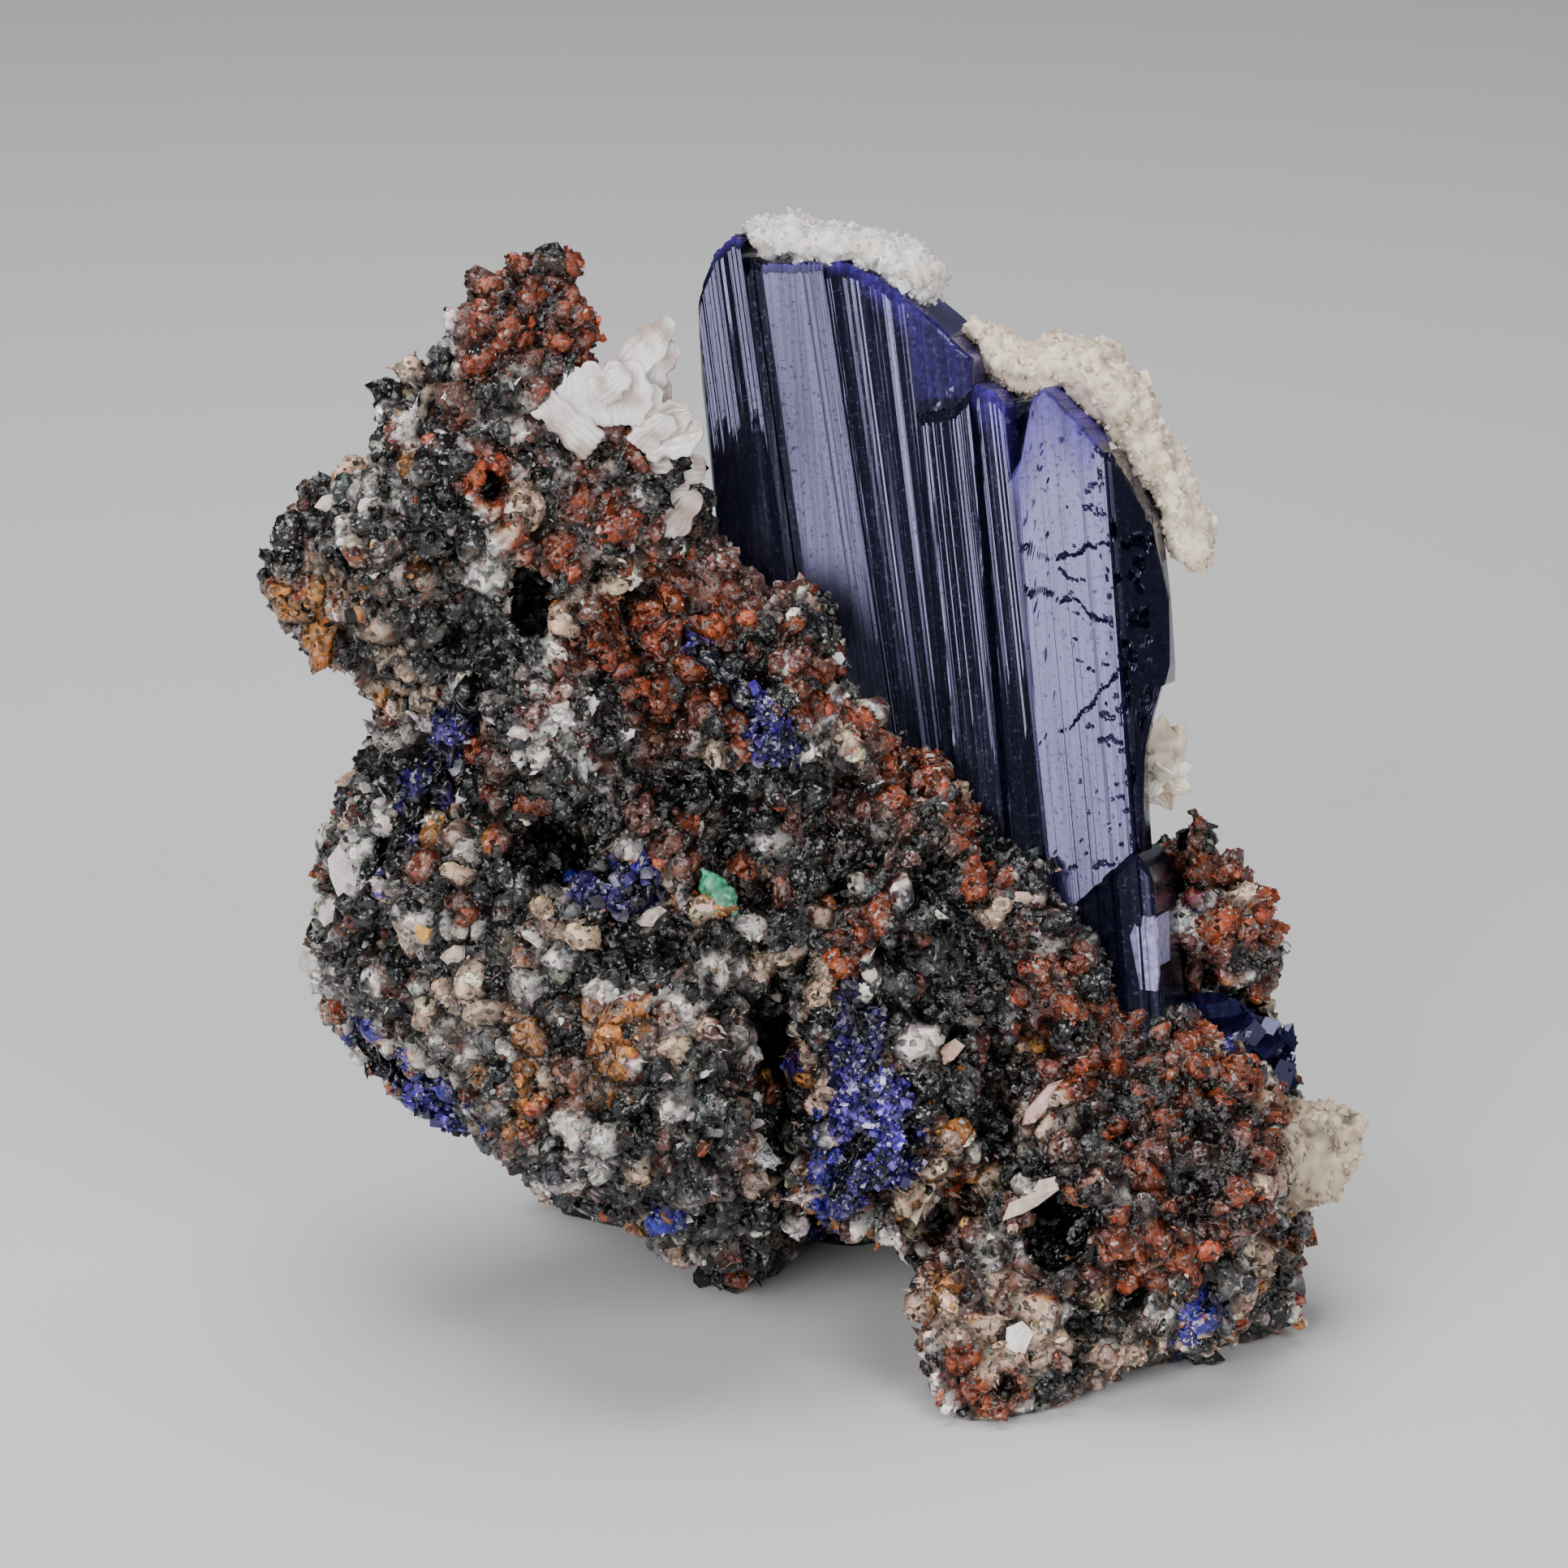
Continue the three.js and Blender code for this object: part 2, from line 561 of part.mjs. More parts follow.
addPiece("matrix", rock, 0x5a4a44, 0.75);
addPiece("azurite_crystals", crystal, 0x14163c, 0.2);
addPiece("calcite_top_crust", topCrust, 0xe6dfdf, 0.6);
addPiece("calcite_side_crust", sideCrust, 0xe2d2c0, 0.6);
addPiece("calcite_peak_plates", plates, 0xdccfc9, 0.45);
addPiece("calcite_rosette", rosette, 0xd8c8b0, 0.45);
addPiece("calcite_knob", knob, 0xb49c82, 0.6);
addPiece("azurite_right_cluster", cluster, 0x10122e, 0.3);
for (const [name, solid] of seams) addPiece(name, solid, SEAM_COLOURS[name.split("_")[0]], 0.4);

export default specimen;
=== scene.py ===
"""The looks of an azurite specimen: ore rock with its grains, striated azurite blades, calcite and seams.

Lengths in the tables are millimetres in the part's drawing frame, +Z up, front towards -Y; MIDDLE is
where the middle of the base lies in that frame. Meshes are in metres.
"""

import itertools

import bmesh
import bpy
import numpy as np
from bpy.props import FloatProperty, FloatVectorProperty, IntProperty, PointerProperty
from mathutils import Euler, Matrix, Vector
from mathutils.bvhtree import BVHTree


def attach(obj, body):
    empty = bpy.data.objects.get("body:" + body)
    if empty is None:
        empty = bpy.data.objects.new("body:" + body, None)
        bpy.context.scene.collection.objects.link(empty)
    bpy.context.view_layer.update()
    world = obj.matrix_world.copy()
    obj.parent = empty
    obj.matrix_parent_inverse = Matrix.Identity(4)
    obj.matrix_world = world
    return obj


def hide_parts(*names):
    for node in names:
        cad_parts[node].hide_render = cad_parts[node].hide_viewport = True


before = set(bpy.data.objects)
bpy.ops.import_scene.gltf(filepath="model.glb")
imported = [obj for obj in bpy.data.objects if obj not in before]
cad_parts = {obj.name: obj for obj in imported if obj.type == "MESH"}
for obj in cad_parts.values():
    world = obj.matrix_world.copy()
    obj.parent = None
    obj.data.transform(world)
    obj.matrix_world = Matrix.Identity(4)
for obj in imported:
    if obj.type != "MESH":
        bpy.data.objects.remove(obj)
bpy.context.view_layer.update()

bl_info = {
    "name": "Azurite Specimen",
    "version": (1, 0, 0),
    "blender": (4, 5, 0),
    "location": "3D View > Sidebar > Specimen",
    "description": "Builds the looks of an azurite specimen around its solids",
    "category": "Object",
}

MM = 0.001
MIDDLE = np.array([1.2, 2.5, 0.0])
SEED = 20

# The photograph's camera: its frame in pixels, focal length in pixels, distance and aim in millimetres.
PHOTO_SIZE = 1932
PHOTO_FOCAL = 7968
PHOTO_TILT = np.radians(20)
PHOTO_DISTANCE = 425
PHOTO_AIM = np.array([-1.3, 0, 37.2])
PIXELS_PER_MM = 18.75
TO_CAMERA = np.array([0, -np.cos(PHOTO_TILT), np.sin(PHOTO_TILT)])
CAMERA_PLACE = PHOTO_AIM + PHOTO_DISTANCE * TO_CAMERA
SENSOR = 36

# The crystal group's own axes: width w to its right, thickness t to its back, length a upwards.
CRYSTAL_FOOT = np.array([7.5, 6, 44.5])
CRYSTAL_TURNS = {"Z": -16, "X": -14, "Y": -9}

# Colours of the ore's minerals, and the share of each where nothing else is said.
ORE_COLOURS = {
    "dark": (0.006, 0.007, 0.008),
    "grey": (0.055, 0.057, 0.060),
    "pale": (0.62, 0.56, 0.53),
    "brown": (0.105, 0.038, 0.028),
    "rust": (0.22, 0.044, 0.016),
    "ochre": (0.40, 0.15, 0.035),
    "cream": (0.50, 0.34, 0.245),
    "blue": (0.018, 0.012, 0.20),
}
ORE_BASE_SHARES = {
    "dark": 1.0, "grey": 0.35, "pale": 0.33, "brown": 0.36,
    "rust": 0.1, "ochre": 0.04, "cream": 0.3, "blue": 0.0,
}

# Where the photograph shows more of a mineral: the middle and radius of each patch, in its pixels.
ORE_PATCHES = {
    "rust": (
        (675, 345, 95), (700, 420, 75), (640, 320, 50), (640, 400, 60), (610, 600, 40), (735, 640, 45),
        (700, 680, 50), (790, 760, 65), (830, 830, 60), (880, 760, 45), (940, 790, 45), (1005, 830, 40),
        (1065, 875, 35), (1130, 945, 45), (1175, 1000, 30), (1215, 1080, 35), (1270, 1140, 35),
        (1310, 1190, 30), (1300, 1265, 55), (1400, 1310, 90), (1480, 1370, 95), (1500, 1440, 80),
        (1440, 1500, 70), (1540, 1140, 40), (1430, 1030, 45), (1470, 1065, 40), (1050, 1130, 45),
        (1215, 1695, 40), (790, 555, 28), (745, 505, 22), (720, 610, 35),
    ),
    "brown": (
        (620, 450, 70), (720, 540, 70), (900, 700, 70), (1090, 1010, 90), (1050, 960, 60),
        (760, 850, 90), (1350, 1380, 90), (1450, 1180, 60), (820, 900, 60), (1240, 1560, 80),
    ),
    "ochre": (
        (400, 760, 45), (515, 1140, 22), (680, 1290, 60), (650, 1340, 55), (720, 1350, 60),
        (770, 1270, 40), (480, 700, 30), (1400, 1060, 30), (1150, 1600, 35),
    ),
    "cream": (
        (650, 700, 45), (530, 690, 40), (430, 730, 55), (480, 840, 45), (620, 640, 40),
        (1140, 1620, 60), (1250, 1640, 70), (1380, 1690, 80), (1280, 1385, 45), (1540, 1570, 45),
        (1600, 1420, 60), (1240, 1480, 40), (1140, 1480, 35), (590, 1240, 70), (800, 1130, 40),
        (840, 1240, 50), (500, 1190, 40), (760, 700, 40),
    ),
    "pale": (
        (480, 600, 45), (590, 690, 45), (430, 1060, 50), (400, 1150, 45), (400, 1215, 45),
        (480, 900, 45), (440, 640, 30), (360, 660, 30), (700, 900, 70), (640, 1230, 70),
        (850, 1320, 50), (1060, 1450, 40), (560, 1160, 50), (900, 1240, 60), (700, 1430, 60),
        (850, 1500, 50),
    ),
    "dark": (
        (560, 520, 70), (540, 640, 35), (600, 800, 70), (880, 1010, 90), (1150, 1200, 100),
        (1200, 1320, 80), (880, 1420, 90), (930, 1520, 70), (650, 1040, 45), (690, 960, 60),
        (1290, 1520, 50), (1390, 1240, 60), (800, 1180, 60), (640, 740, 40), (1100, 1090, 90),
        (1190, 1150, 70), (960, 1010, 60),
    ),
    "blue": (
        (1055, 1240, 22), (1050, 1300, 25), (1080, 1350, 35), (1120, 1385, 30), (1045, 1400, 35),
        (1030, 1470, 30), (1020, 1520, 22), (950, 1260, 14), (960, 1310, 15), (980, 1360, 15),
        (865, 800, 16), (895, 840, 20), (930, 880, 20), (955, 915, 18), (975, 950, 14), (570, 880, 22),
        (548, 940, 20), (510, 1000, 14), (450, 1110, 14), (440, 1265, 18), (480, 1310, 20),
        (530, 1350, 24), (570, 1385, 20), (1470, 1620, 26), (1495, 1605, 18), (1455, 1660, 14),
        (810, 1475, 16), (840, 1492, 18), (1475, 1110, 20), (1530, 1270, 22), (720, 1090, 26),
        (790, 1100, 22),
    ),
}
# How much of its mineral a patch adds at its middle, beside the base shares.
PATCH_STRENGTH = {
    "rust": 11.0, "brown": 3.0, "ochre": 3.2, "cream": 2.6, "pale": 1.8, "dark": 1.6, "blue": 6.0,
}


# Numbers from places

def lattice_value(cells, seed):
    """A repeatable number from 0 to 1 for each row of whole numbers, hashed with the seed."""
    mask = np.uint64(0xFFFFFFFF)
    whole = (cells.astype(np.int64) & 0xFFFFFFFF).astype(np.uint64)
    mixed = whole[:, 0] * np.uint64(374761393) + whole[:, 1] * np.uint64(668265263)
    mixed = (mixed + whole[:, 2] * np.uint64(1274126177) + np.uint64(seed * 144665 + 7)) & mask
    mixed = ((mixed ^ (mixed >> np.uint64(13))) * np.uint64(1103515245)) & mask
    mixed = ((mixed ^ (mixed >> np.uint64(15))) * np.uint64(2246822519)) & mask
    return (mixed ^ (mixed >> np.uint64(16))).astype(float) / 2**32


def smooth_noise(points, span, seed):
    """Noise from -1 to 1: values of a lattice with the given span, blended by smoothstep in each cell."""
    scaled = points / span
    base = np.floor(scaled)
    part = scaled - base
    ease = part * part * (3 - 2 * part)
    total = np.zeros(len(points))
    for corner in itertools.product((0, 1), repeat=3):
        weight = np.prod(np.where(corner, ease, 1 - ease), axis=1)
        total += weight * lattice_value(base + corner, seed)
    return 2 * total - 1


def layered_noise(points, span, layers, seed):
    """A sum of smooth noise whose span and height halve with each layer."""
    return sum(smooth_noise(points, span / 2**n, seed + n) / 2**n for n in range(layers))


def cell_noise(points, span, seed):
    """For each point, its distances in spans to the nearest and next nearest of a jittered lattice's
    points, and a number from 0 to 1 that belongs to the nearest one."""
    scaled = points / span
    base = np.floor(scaled)
    nearest = np.full(len(points), 9.0)
    second = nearest.copy()
    label = np.zeros(len(points))
    for offset in itertools.product((-1, 0, 1), repeat=3):
        cell = base + offset
        jitter = np.column_stack([lattice_value(cell, seed + 31 * axis) for axis in range(3)])
        distance = np.linalg.norm(cell + jitter - scaled, axis=1)
        closer = distance < nearest
        second = np.where(closer, nearest, np.minimum(second, distance))
        label = np.where(closer, lattice_value(cell, seed + 101), label)
        nearest = np.where(closer, distance, nearest)
    return nearest, second, label


def photo_pixels(points):
    """Where the photograph's camera sees points of the drawing frame, by its pinhole projection."""
    across, along, up = (points - PHOTO_AIM).T
    depth = PHOTO_DISTANCE + along * np.cos(PHOTO_TILT) - up * np.sin(PHOTO_TILT)
    rise = along * np.sin(PHOTO_TILT) + up * np.cos(PHOTO_TILT)
    half = PHOTO_SIZE / 2
    return np.column_stack([half + PHOTO_FOCAL * across / depth, half - PHOTO_FOCAL * rise / depth])


def photo_ray(across, down):
    """The direction in which the photograph's camera sees a pixel, one long."""
    half = PHOTO_SIZE / 2
    rise = np.array([0, np.sin(PHOTO_TILT), np.cos(PHOTO_TILT)])
    ray = -PHOTO_FOCAL * TO_CAMERA + np.array([across - half, 0, 0]) + (half - down) * rise
    return ray / np.linalg.norm(ray)


def photo_place(pixel, depth):
    """The place on the plane y = depth that the photograph's camera sees at a pixel."""
    ray = photo_ray(*pixel)
    return CAMERA_PLACE + ray * (depth - CAMERA_PLACE[1]) / ray[1]


def crystal_turn():
    """The rotation from the crystal group's axes to the drawing frame: about Y, then X, then Z."""
    turn = Matrix.Identity(3)
    for axis, angle in CRYSTAL_TURNS.items():
        turn = turn @ Matrix.Rotation(np.radians(angle), 3, axis)
    return np.array(turn)


def from_crystal(points):
    """Points given in the crystal group's w, t and a, in the drawing frame."""
    return points @ crystal_turn().T + CRYSTAL_FOOT


def to_crystal(points):
    """Points of the drawing frame, in the crystal group's w, t and a."""
    return (points - CRYSTAL_FOOT) @ crystal_turn()


# Meshes from arrays

def mesh_from(name, points, faces):
    """A mesh of equal-sided faces, from points of the drawing frame."""
    sides = faces.shape[1]
    mesh = bpy.data.meshes.new(name)
    mesh.vertices.add(len(points))
    mesh.vertices.foreach_set("co", ((points - MIDDLE) * MM).astype(np.float32).ravel())
    mesh.loops.add(faces.size)
    mesh.loops.foreach_set("vertex_index", faces.astype(np.int32).ravel())
    mesh.polygons.add(len(faces))
    mesh.polygons.foreach_set("loop_start", np.arange(0, faces.size, sides, dtype=np.int32))
    mesh.update(calc_edges=True)
    mesh.validate()
    return mesh


def add_piece(name, points, faces, material, slot, nodes, tints, smooth=False):
    """Puts a mesh in the scene as a piece of the specimen, with a colour for each point."""
    mesh = mesh_from(name, points, faces)
    layer = mesh.attributes.new("tint", "FLOAT_COLOR", "POINT")
    layer.data.foreach_set("color", tints.astype(np.float32).ravel())
    if smooth:
        mesh.shade_smooth()
    else:
        mesh.shade_flat()
    mesh.materials.append(material)
    piece = bpy.data.objects.new(name, mesh)
    bpy.context.scene.collection.objects.link(piece)
    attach(piece, "root")
    if nodes:
        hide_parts(*nodes)


def fine_shell(node, voxel):
    """Points and four-sided faces of a CAD node's copy, its doubles merged and its skin remeshed in
    small squares."""
    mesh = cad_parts[node].data.copy()
    shell = bmesh.new()
    shell.from_mesh(mesh)
    bmesh.ops.remove_doubles(shell, verts=shell.verts, dist=MM / 1000)
    shell.to_mesh(mesh)
    shell.free()
    carrier = bpy.data.objects.new("carrier", mesh)
    bpy.context.scene.collection.objects.link(carrier)
    squares = carrier.modifiers.new("squares", "REMESH")
    squares.mode = "VOXEL"
    squares.voxel_size = voxel * MM
    graph = bpy.context.evaluated_depsgraph_get()
    made = bpy.data.meshes.new_from_object(carrier.evaluated_get(graph), depsgraph=graph)
    points = np.empty(3 * len(made.vertices), np.float32)
    made.vertices.foreach_get("co", points)
    corners = np.empty(len(made.loops), np.int32)
    made.loops.foreach_get("vertex_index", corners)
    bpy.data.objects.remove(carrier)
    bpy.data.meshes.remove(made)
    return points.reshape(-1, 3).astype(float) / MM + MIDDLE, corners.reshape(-1, 4)


def point_normals(points, faces):
    """Each point's normal: the sum of the area vectors of the faces round it, made one long."""
    corners = points[faces]
    area = np.cross(corners[:, 2] - corners[:, 0], corners[:, -1] - corners[:, 1])
    sides = faces.shape[1]
    total = np.column_stack([
        np.bincount(faces.ravel(), np.repeat(area[:, axis], sides), len(points)) for axis in range(3)
    ])
    return total / np.maximum(np.linalg.norm(total, axis=1, keepdims=True), 1e-12)


def relaxed(points, faces, rounds):
    """Moves each point halfway to the mean of its neighbours, several times."""
    start = faces.ravel()
    end = np.roll(faces, -1, axis=1).ravel()
    count = np.bincount(start, minlength=len(points)) + np.bincount(end, minlength=len(points))
    for _ in range(rounds):
        total = np.column_stack([
            np.bincount(start, points[end, axis], len(points))
            + np.bincount(end, points[start, axis], len(points))
            for axis in range(3)
        ])
        points = (points + total / count[:, None]) / 2
    return points


def scattered(points, faces, count, random):
    """Places and normals spread evenly over a mesh of four-sided faces: faces are drawn by area, and a
    place in a face by two random numbers that blend its corners."""
    corners = points[faces]
    area = np.cross(corners[:, 2] - corners[:, 0], corners[:, 3] - corners[:, 1])
    size = np.linalg.norm(area, axis=1)
    pick = np.searchsorted(np.cumsum(size), random.random(count) * size.sum())
    u, v = random.random((2, count, 1))
    one, two, three, four = (corners[pick, n] for n in range(4))
    places = (one * (1 - u) + two * u) * (1 - v) + (four * (1 - u) + three * u) * v
    return places, area[pick] / np.maximum(size[pick, None], 1e-12)


FIFTH = 2 * np.pi / 5
BLOCK_HALF = 0.6
GRAIN_SHAPES = {
    "shard": (
        np.array([[np.cos(FIFTH * n), np.sin(FIFTH * n), 0.25 * (-1) ** n] for n in range(5)]
                 + [[0.2, 0.1, 0.95], [-0.1, 0.2, -0.85]]),
        np.array([[n, (n + 1) % 5, 5] for n in range(5)] + [[(n + 1) % 5, n, 6] for n in range(5)]),
    ),
    "block": (
        np.array(list(itertools.product((-1, 1), repeat=3)), float) * BLOCK_HALF,
        np.array([[0, 1, 3, 2], [4, 6, 7, 5], [0, 4, 5, 1], [2, 3, 7, 6], [0, 2, 6, 4], [1, 5, 7, 3]]),
    ),
    "splinter": (
        np.repeat(np.eye(3), 2, axis=0) * np.tile([[1], [-1]], (3, 1)) * (0.55, 0.75, 2.0),
        np.array([
            [0, 2, 4], [2, 1, 4], [1, 3, 4], [3, 0, 4], [2, 0, 5], [1, 2, 5], [3, 1, 5], [0, 3, 5],
        ]),
    ),
}


def random_turns(count, random):
    """Rotations drawn evenly from all rotations, from unit quaternions of four normal numbers."""
    w, x, y, z = (lambda q: (q / np.linalg.norm(q, axis=0)))(random.normal(size=(4, count)))
    rows = [
        [1 - 2 * (y * y + z * z), 2 * (x * y - w * z), 2 * (x * z + w * y)],
        [2 * (x * y + w * z), 1 - 2 * (x * x + z * z), 2 * (y * z - w * x)],
        [2 * (x * z - w * y), 2 * (y * z + w * x), 1 - 2 * (x * x + y * y)],
    ]
    return np.moveaxis(np.array(rows), 2, 0)


def repeated(faces, points_each, count):
    """A shape's faces, once for each of the shape's copies."""
    return (faces[None] + points_each * np.arange(count)[:, None, None]).reshape(-1, faces.shape[1])


def grain_mesh(places, sizes, shape, random):
    """Points and faces of one small polyhedron at each place: the shape's corners, stretched unevenly
    by random factors, times the grain's size, turned at random and moved to its place."""
    corners, faces = GRAIN_SHAPES[shape]
    count = len(places)
    stretch = np.exp(random.normal(0, 0.3, (count, 1, 3)))
    uneven = 1 + 0.25 * random.uniform(-1, 1, (count, len(corners), 1))
    solid = corners[None] * stretch * uneven * sizes[:, None, None]
    points = np.einsum("nij,nkj->nki", random_turns(count, random), solid) + places[:, None]
    return points.reshape(-1, 3), repeated(faces, len(corners), count)


# Shader groups

def new_group(name, inputs, outputs):
    """An empty shader node group with its input and output nodes. A socket is a name and a kind, and an
    input's default."""
    group = bpy.data.node_groups.new(name, "ShaderNodeTree")
    for label, kind, default in inputs:
        socket = group.interface.new_socket(label, in_out="INPUT", socket_type=f"NodeSocket{kind}")
        if default is not None:
            socket.default_value = default
    for label, kind in outputs:
        group.interface.new_socket(label, in_out="OUTPUT", socket_type=f"NodeSocket{kind}")
    return group, group.nodes.new("NodeGroupInput"), group.nodes.new("NodeGroupOutput")


def node(tree, kind, inputs=None, **settings):
    """Adds a node. inputs maps a socket's name or number to a value, or to a socket to link from."""
    made = tree.nodes.new(f"ShaderNode{kind}")
    for key, value in settings.items():
        setattr(made, key, value)
    for key, value in (inputs or {}).items():
        if isinstance(value, bpy.types.NodeSocket):
            tree.links.new(value, made.inputs[key])
        else:
            made.inputs[key].default_value = value
    return made


def maths(tree, operation, *values):
    """A Math node's result."""
    return node(tree, "Math", dict(enumerate(values)), operation=operation).outputs[0]


def ranged(tree, value, **limits):
    """A Map Range node's result. A limit is named for its socket, with _ for a space."""
    sockets = {key.replace("_", " "): limit for key, limit in limits.items()}
    return node(tree, "MapRange", {"Value": value} | sockets).outputs[0]


def fleck_group():
    """Flecks: each cell of a Voronoi pattern draws a tone from 0 to 1, and the share of the cells with
    the highest second draw is in the mask."""
    group, given, result = new_group(
        "mineral_flecks",
        [("Vector", "Vector", None), ("Cells per metre", "Float", 2000.0), ("Share", "Float", 0.2)],
        [("Tone", "Float"), ("Mask", "Float"), ("Height", "Float")],
    )
    cells = node(group, "TexVoronoi", {"Vector": given.outputs[0], "Scale": given.outputs[1]})
    draws = node(group, "SeparateColor", {0: cells.outputs["Color"]})
    mask = maths(group, "GREATER_THAN", draws.outputs[1], maths(group, "SUBTRACT", 1.0, given.outputs[2]))
    group.links.new(draws.outputs[0], result.inputs[0])
    group.links.new(mask, result.inputs[1])
    group.links.new(maths(group, "SUBTRACT", 1.0, cells.outputs["Distance"]), result.inputs[2])
    return group


def sparkle_group():
    """Sparkle: the surface normal, leaned by a random vector that belongs to each small cell."""
    group, given, result = new_group(
        "crystal_sparkle",
        [("Vector", "Vector", None), ("Cells per metre", "Float", 2500.0), ("Lean", "Float", 0.6)],
        [("Normal", "Vector")],
    )
    cells = node(group, "TexVoronoi", {"Vector": given.outputs[0], "Scale": given.outputs[1]})
    centred = node(
        group, "VectorMath", {0: cells.outputs["Color"], 1: (0.5, 0.5, 0.5)}, operation="SUBTRACT"
    )
    lean = node(
        group, "VectorMath", {0: centred.outputs[0], "Scale": given.outputs[2]}, operation="SCALE"
    )
    surface = node(group, "NewGeometry")
    total = node(group, "VectorMath", {0: surface.outputs["Normal"], 1: lean.outputs[0]}, operation="ADD")
    unit = node(group, "VectorMath", {0: total.outputs[0]}, operation="NORMALIZE")
    group.links.new(unit.outputs[0], result.inputs[0])
    return group


def striae_group():
    """Striae: noise stretched along the pattern's Z, as a height and a tone."""
    group, given, result = new_group(
        "growth_striae",
        [("Vector", "Vector", None), ("Lines per metre", "Float", 3000.0), ("Stretch", "Float", 0.02)],
        [("Height", "Float"), ("Tone", "Float")],
    )
    squeeze = node(group, "CombineXYZ", {0: 1.0, 1: 1.0, 2: given.outputs[2]})
    along = node(group, "VectorMath", {0: given.outputs[0], 1: squeeze.outputs[0]}, operation="MULTIPLY")
    fine = node(group, "TexNoise", {"Vector": along.outputs[0], "Scale": given.outputs[1], "Detail": 3.0})
    broad_scale = maths(group, "MULTIPLY", given.outputs[1], 0.2)
    broad = node(group, "TexNoise", {"Vector": along.outputs[0], "Scale": broad_scale, "Detail": 2.0})
    group.links.new(fine.outputs["Fac"], result.inputs[0])
    group.links.new(broad.outputs["Fac"], result.inputs[1])
    return group


GROUP_MAKERS = {
    "mineral_flecks": fleck_group, "crystal_sparkle": sparkle_group, "growth_striae": striae_group,
}


def group_node(tree, name, inputs):
    """Places a shared group in a material, building it the first time."""
    return node(tree, "Group", inputs, node_tree=bpy.data.node_groups.get(name) or GROUP_MAKERS[name]())


# Materials

FROST_COLOUR = (0.55, 0.51, 0.49)
AZURITE_GLOSS = (0.55, 0.53, 0.9)
CALCITE_STAIN = (0.62, 0.45, 0.32)


def new_material(name, **constants):
    """A material with a plain Principled BSDF, whose constants are set on its own sockets."""
    material = bpy.data.materials.new(name)
    material.use_nodes = True
    tree = material.node_tree
    shader = tree.nodes["Principled BSDF"]
    for key, value in constants.items():
        shader.inputs[key.replace("_", " ")].default_value = value
    return material, tree, shader


def wire(tree, shader, **sockets):
    """Links a socket to each of the shader's named inputs, with _ for a space."""
    for key, socket in sockets.items():
        tree.links.new(socket, shader.inputs[key.replace("_", " ")])


def object_place(tree):
    """The Object coordinates."""
    return node(tree, "TexCoord").outputs["Object"]


def leaned(tree, place, cells, lean):
    """The surface normal, leaned at random in each small cell."""
    inputs = {"Vector": place, "Cells per metre": cells, "Lean": lean}
    return group_node(tree, "crystal_sparkle", inputs).outputs["Normal"]


def tinted(tree, place, cells, low, high):
    """The piece's tint, times a tone between low and high that each small cell draws, and the tint's
    alpha."""
    tint = node(tree, "Attribute", attribute_name="tint").outputs
    flecks = group_node(tree, "mineral_flecks", {"Vector": place, "Cells per metre": cells})
    tone = ranged(tree, flecks.outputs["Tone"], To_Min=low, To_Max=high)
    return mixed_colour(tree, 1.0, tint["Color"], tone, "MULTIPLY"), tint["Alpha"]


def mixed_colour(tree, share, one, two, blend="MIX"):
    """A Mix node's colour; 0, 6 and 7 are its factor and its two colours."""
    return node(tree, "Mix", {0: share, 6: one, 7: two}, data_type="RGBA", blend_type=blend).outputs[2]


def rgba(colour):
    """A colour with an alpha of one."""
    return (*colour, 1.0)


def ore_material(name, lean, roughness, cells):
    """Ore or grains: the piece's own tint, lighter and darker from cell to cell, with a frost of pale
    specks where the tint's alpha, which holds the painted shade, is high, and a glint from cells that
    lean the right way."""
    material, tree, shader = new_material(name, IOR=1.52)
    place = object_place(tree)
    toned, light = tinted(tree, place, cells, 0.2, 2.1)
    inputs = {"Vector": place, "Cells per metre": cells * 1.7, "Share": 0.13}
    frost = group_node(tree, "mineral_flecks", inputs)
    drift = node(tree, "TexNoise", {"Vector": place, "Scale": 650.0, "Detail": 2.0}).outputs["Fac"]
    share = ranged(tree, drift, From_Min=0.4, From_Max=0.62, To_Min=0.05, To_Max=0.8)
    # The frost is kept out of the painted shade that the tint's alpha holds.
    amount = maths(tree, "MULTIPLY", maths(tree, "MULTIPLY", frost.outputs["Mask"], share), light)
    fine = node(tree, "TexNoise", {"Vector": place, "Scale": cells * 1.5, "Detail": 3.0})
    bump = node(tree, "Bump", {"Strength": 0.4, "Distance": 0.0002, "Height": fine.outputs["Fac"],
                               "Normal": leaned(tree, place, cells, lean)})
    rough = ranged(tree, frost.outputs["Tone"], To_Min=roughness - 0.1, To_Max=roughness + 0.15)
    lit = mixed_colour(tree, amount, toned, rgba(FROST_COLOUR))
    wire(tree, shader, Base_Color=lit, Roughness=rough, Normal=bump.outputs[0])
    return material


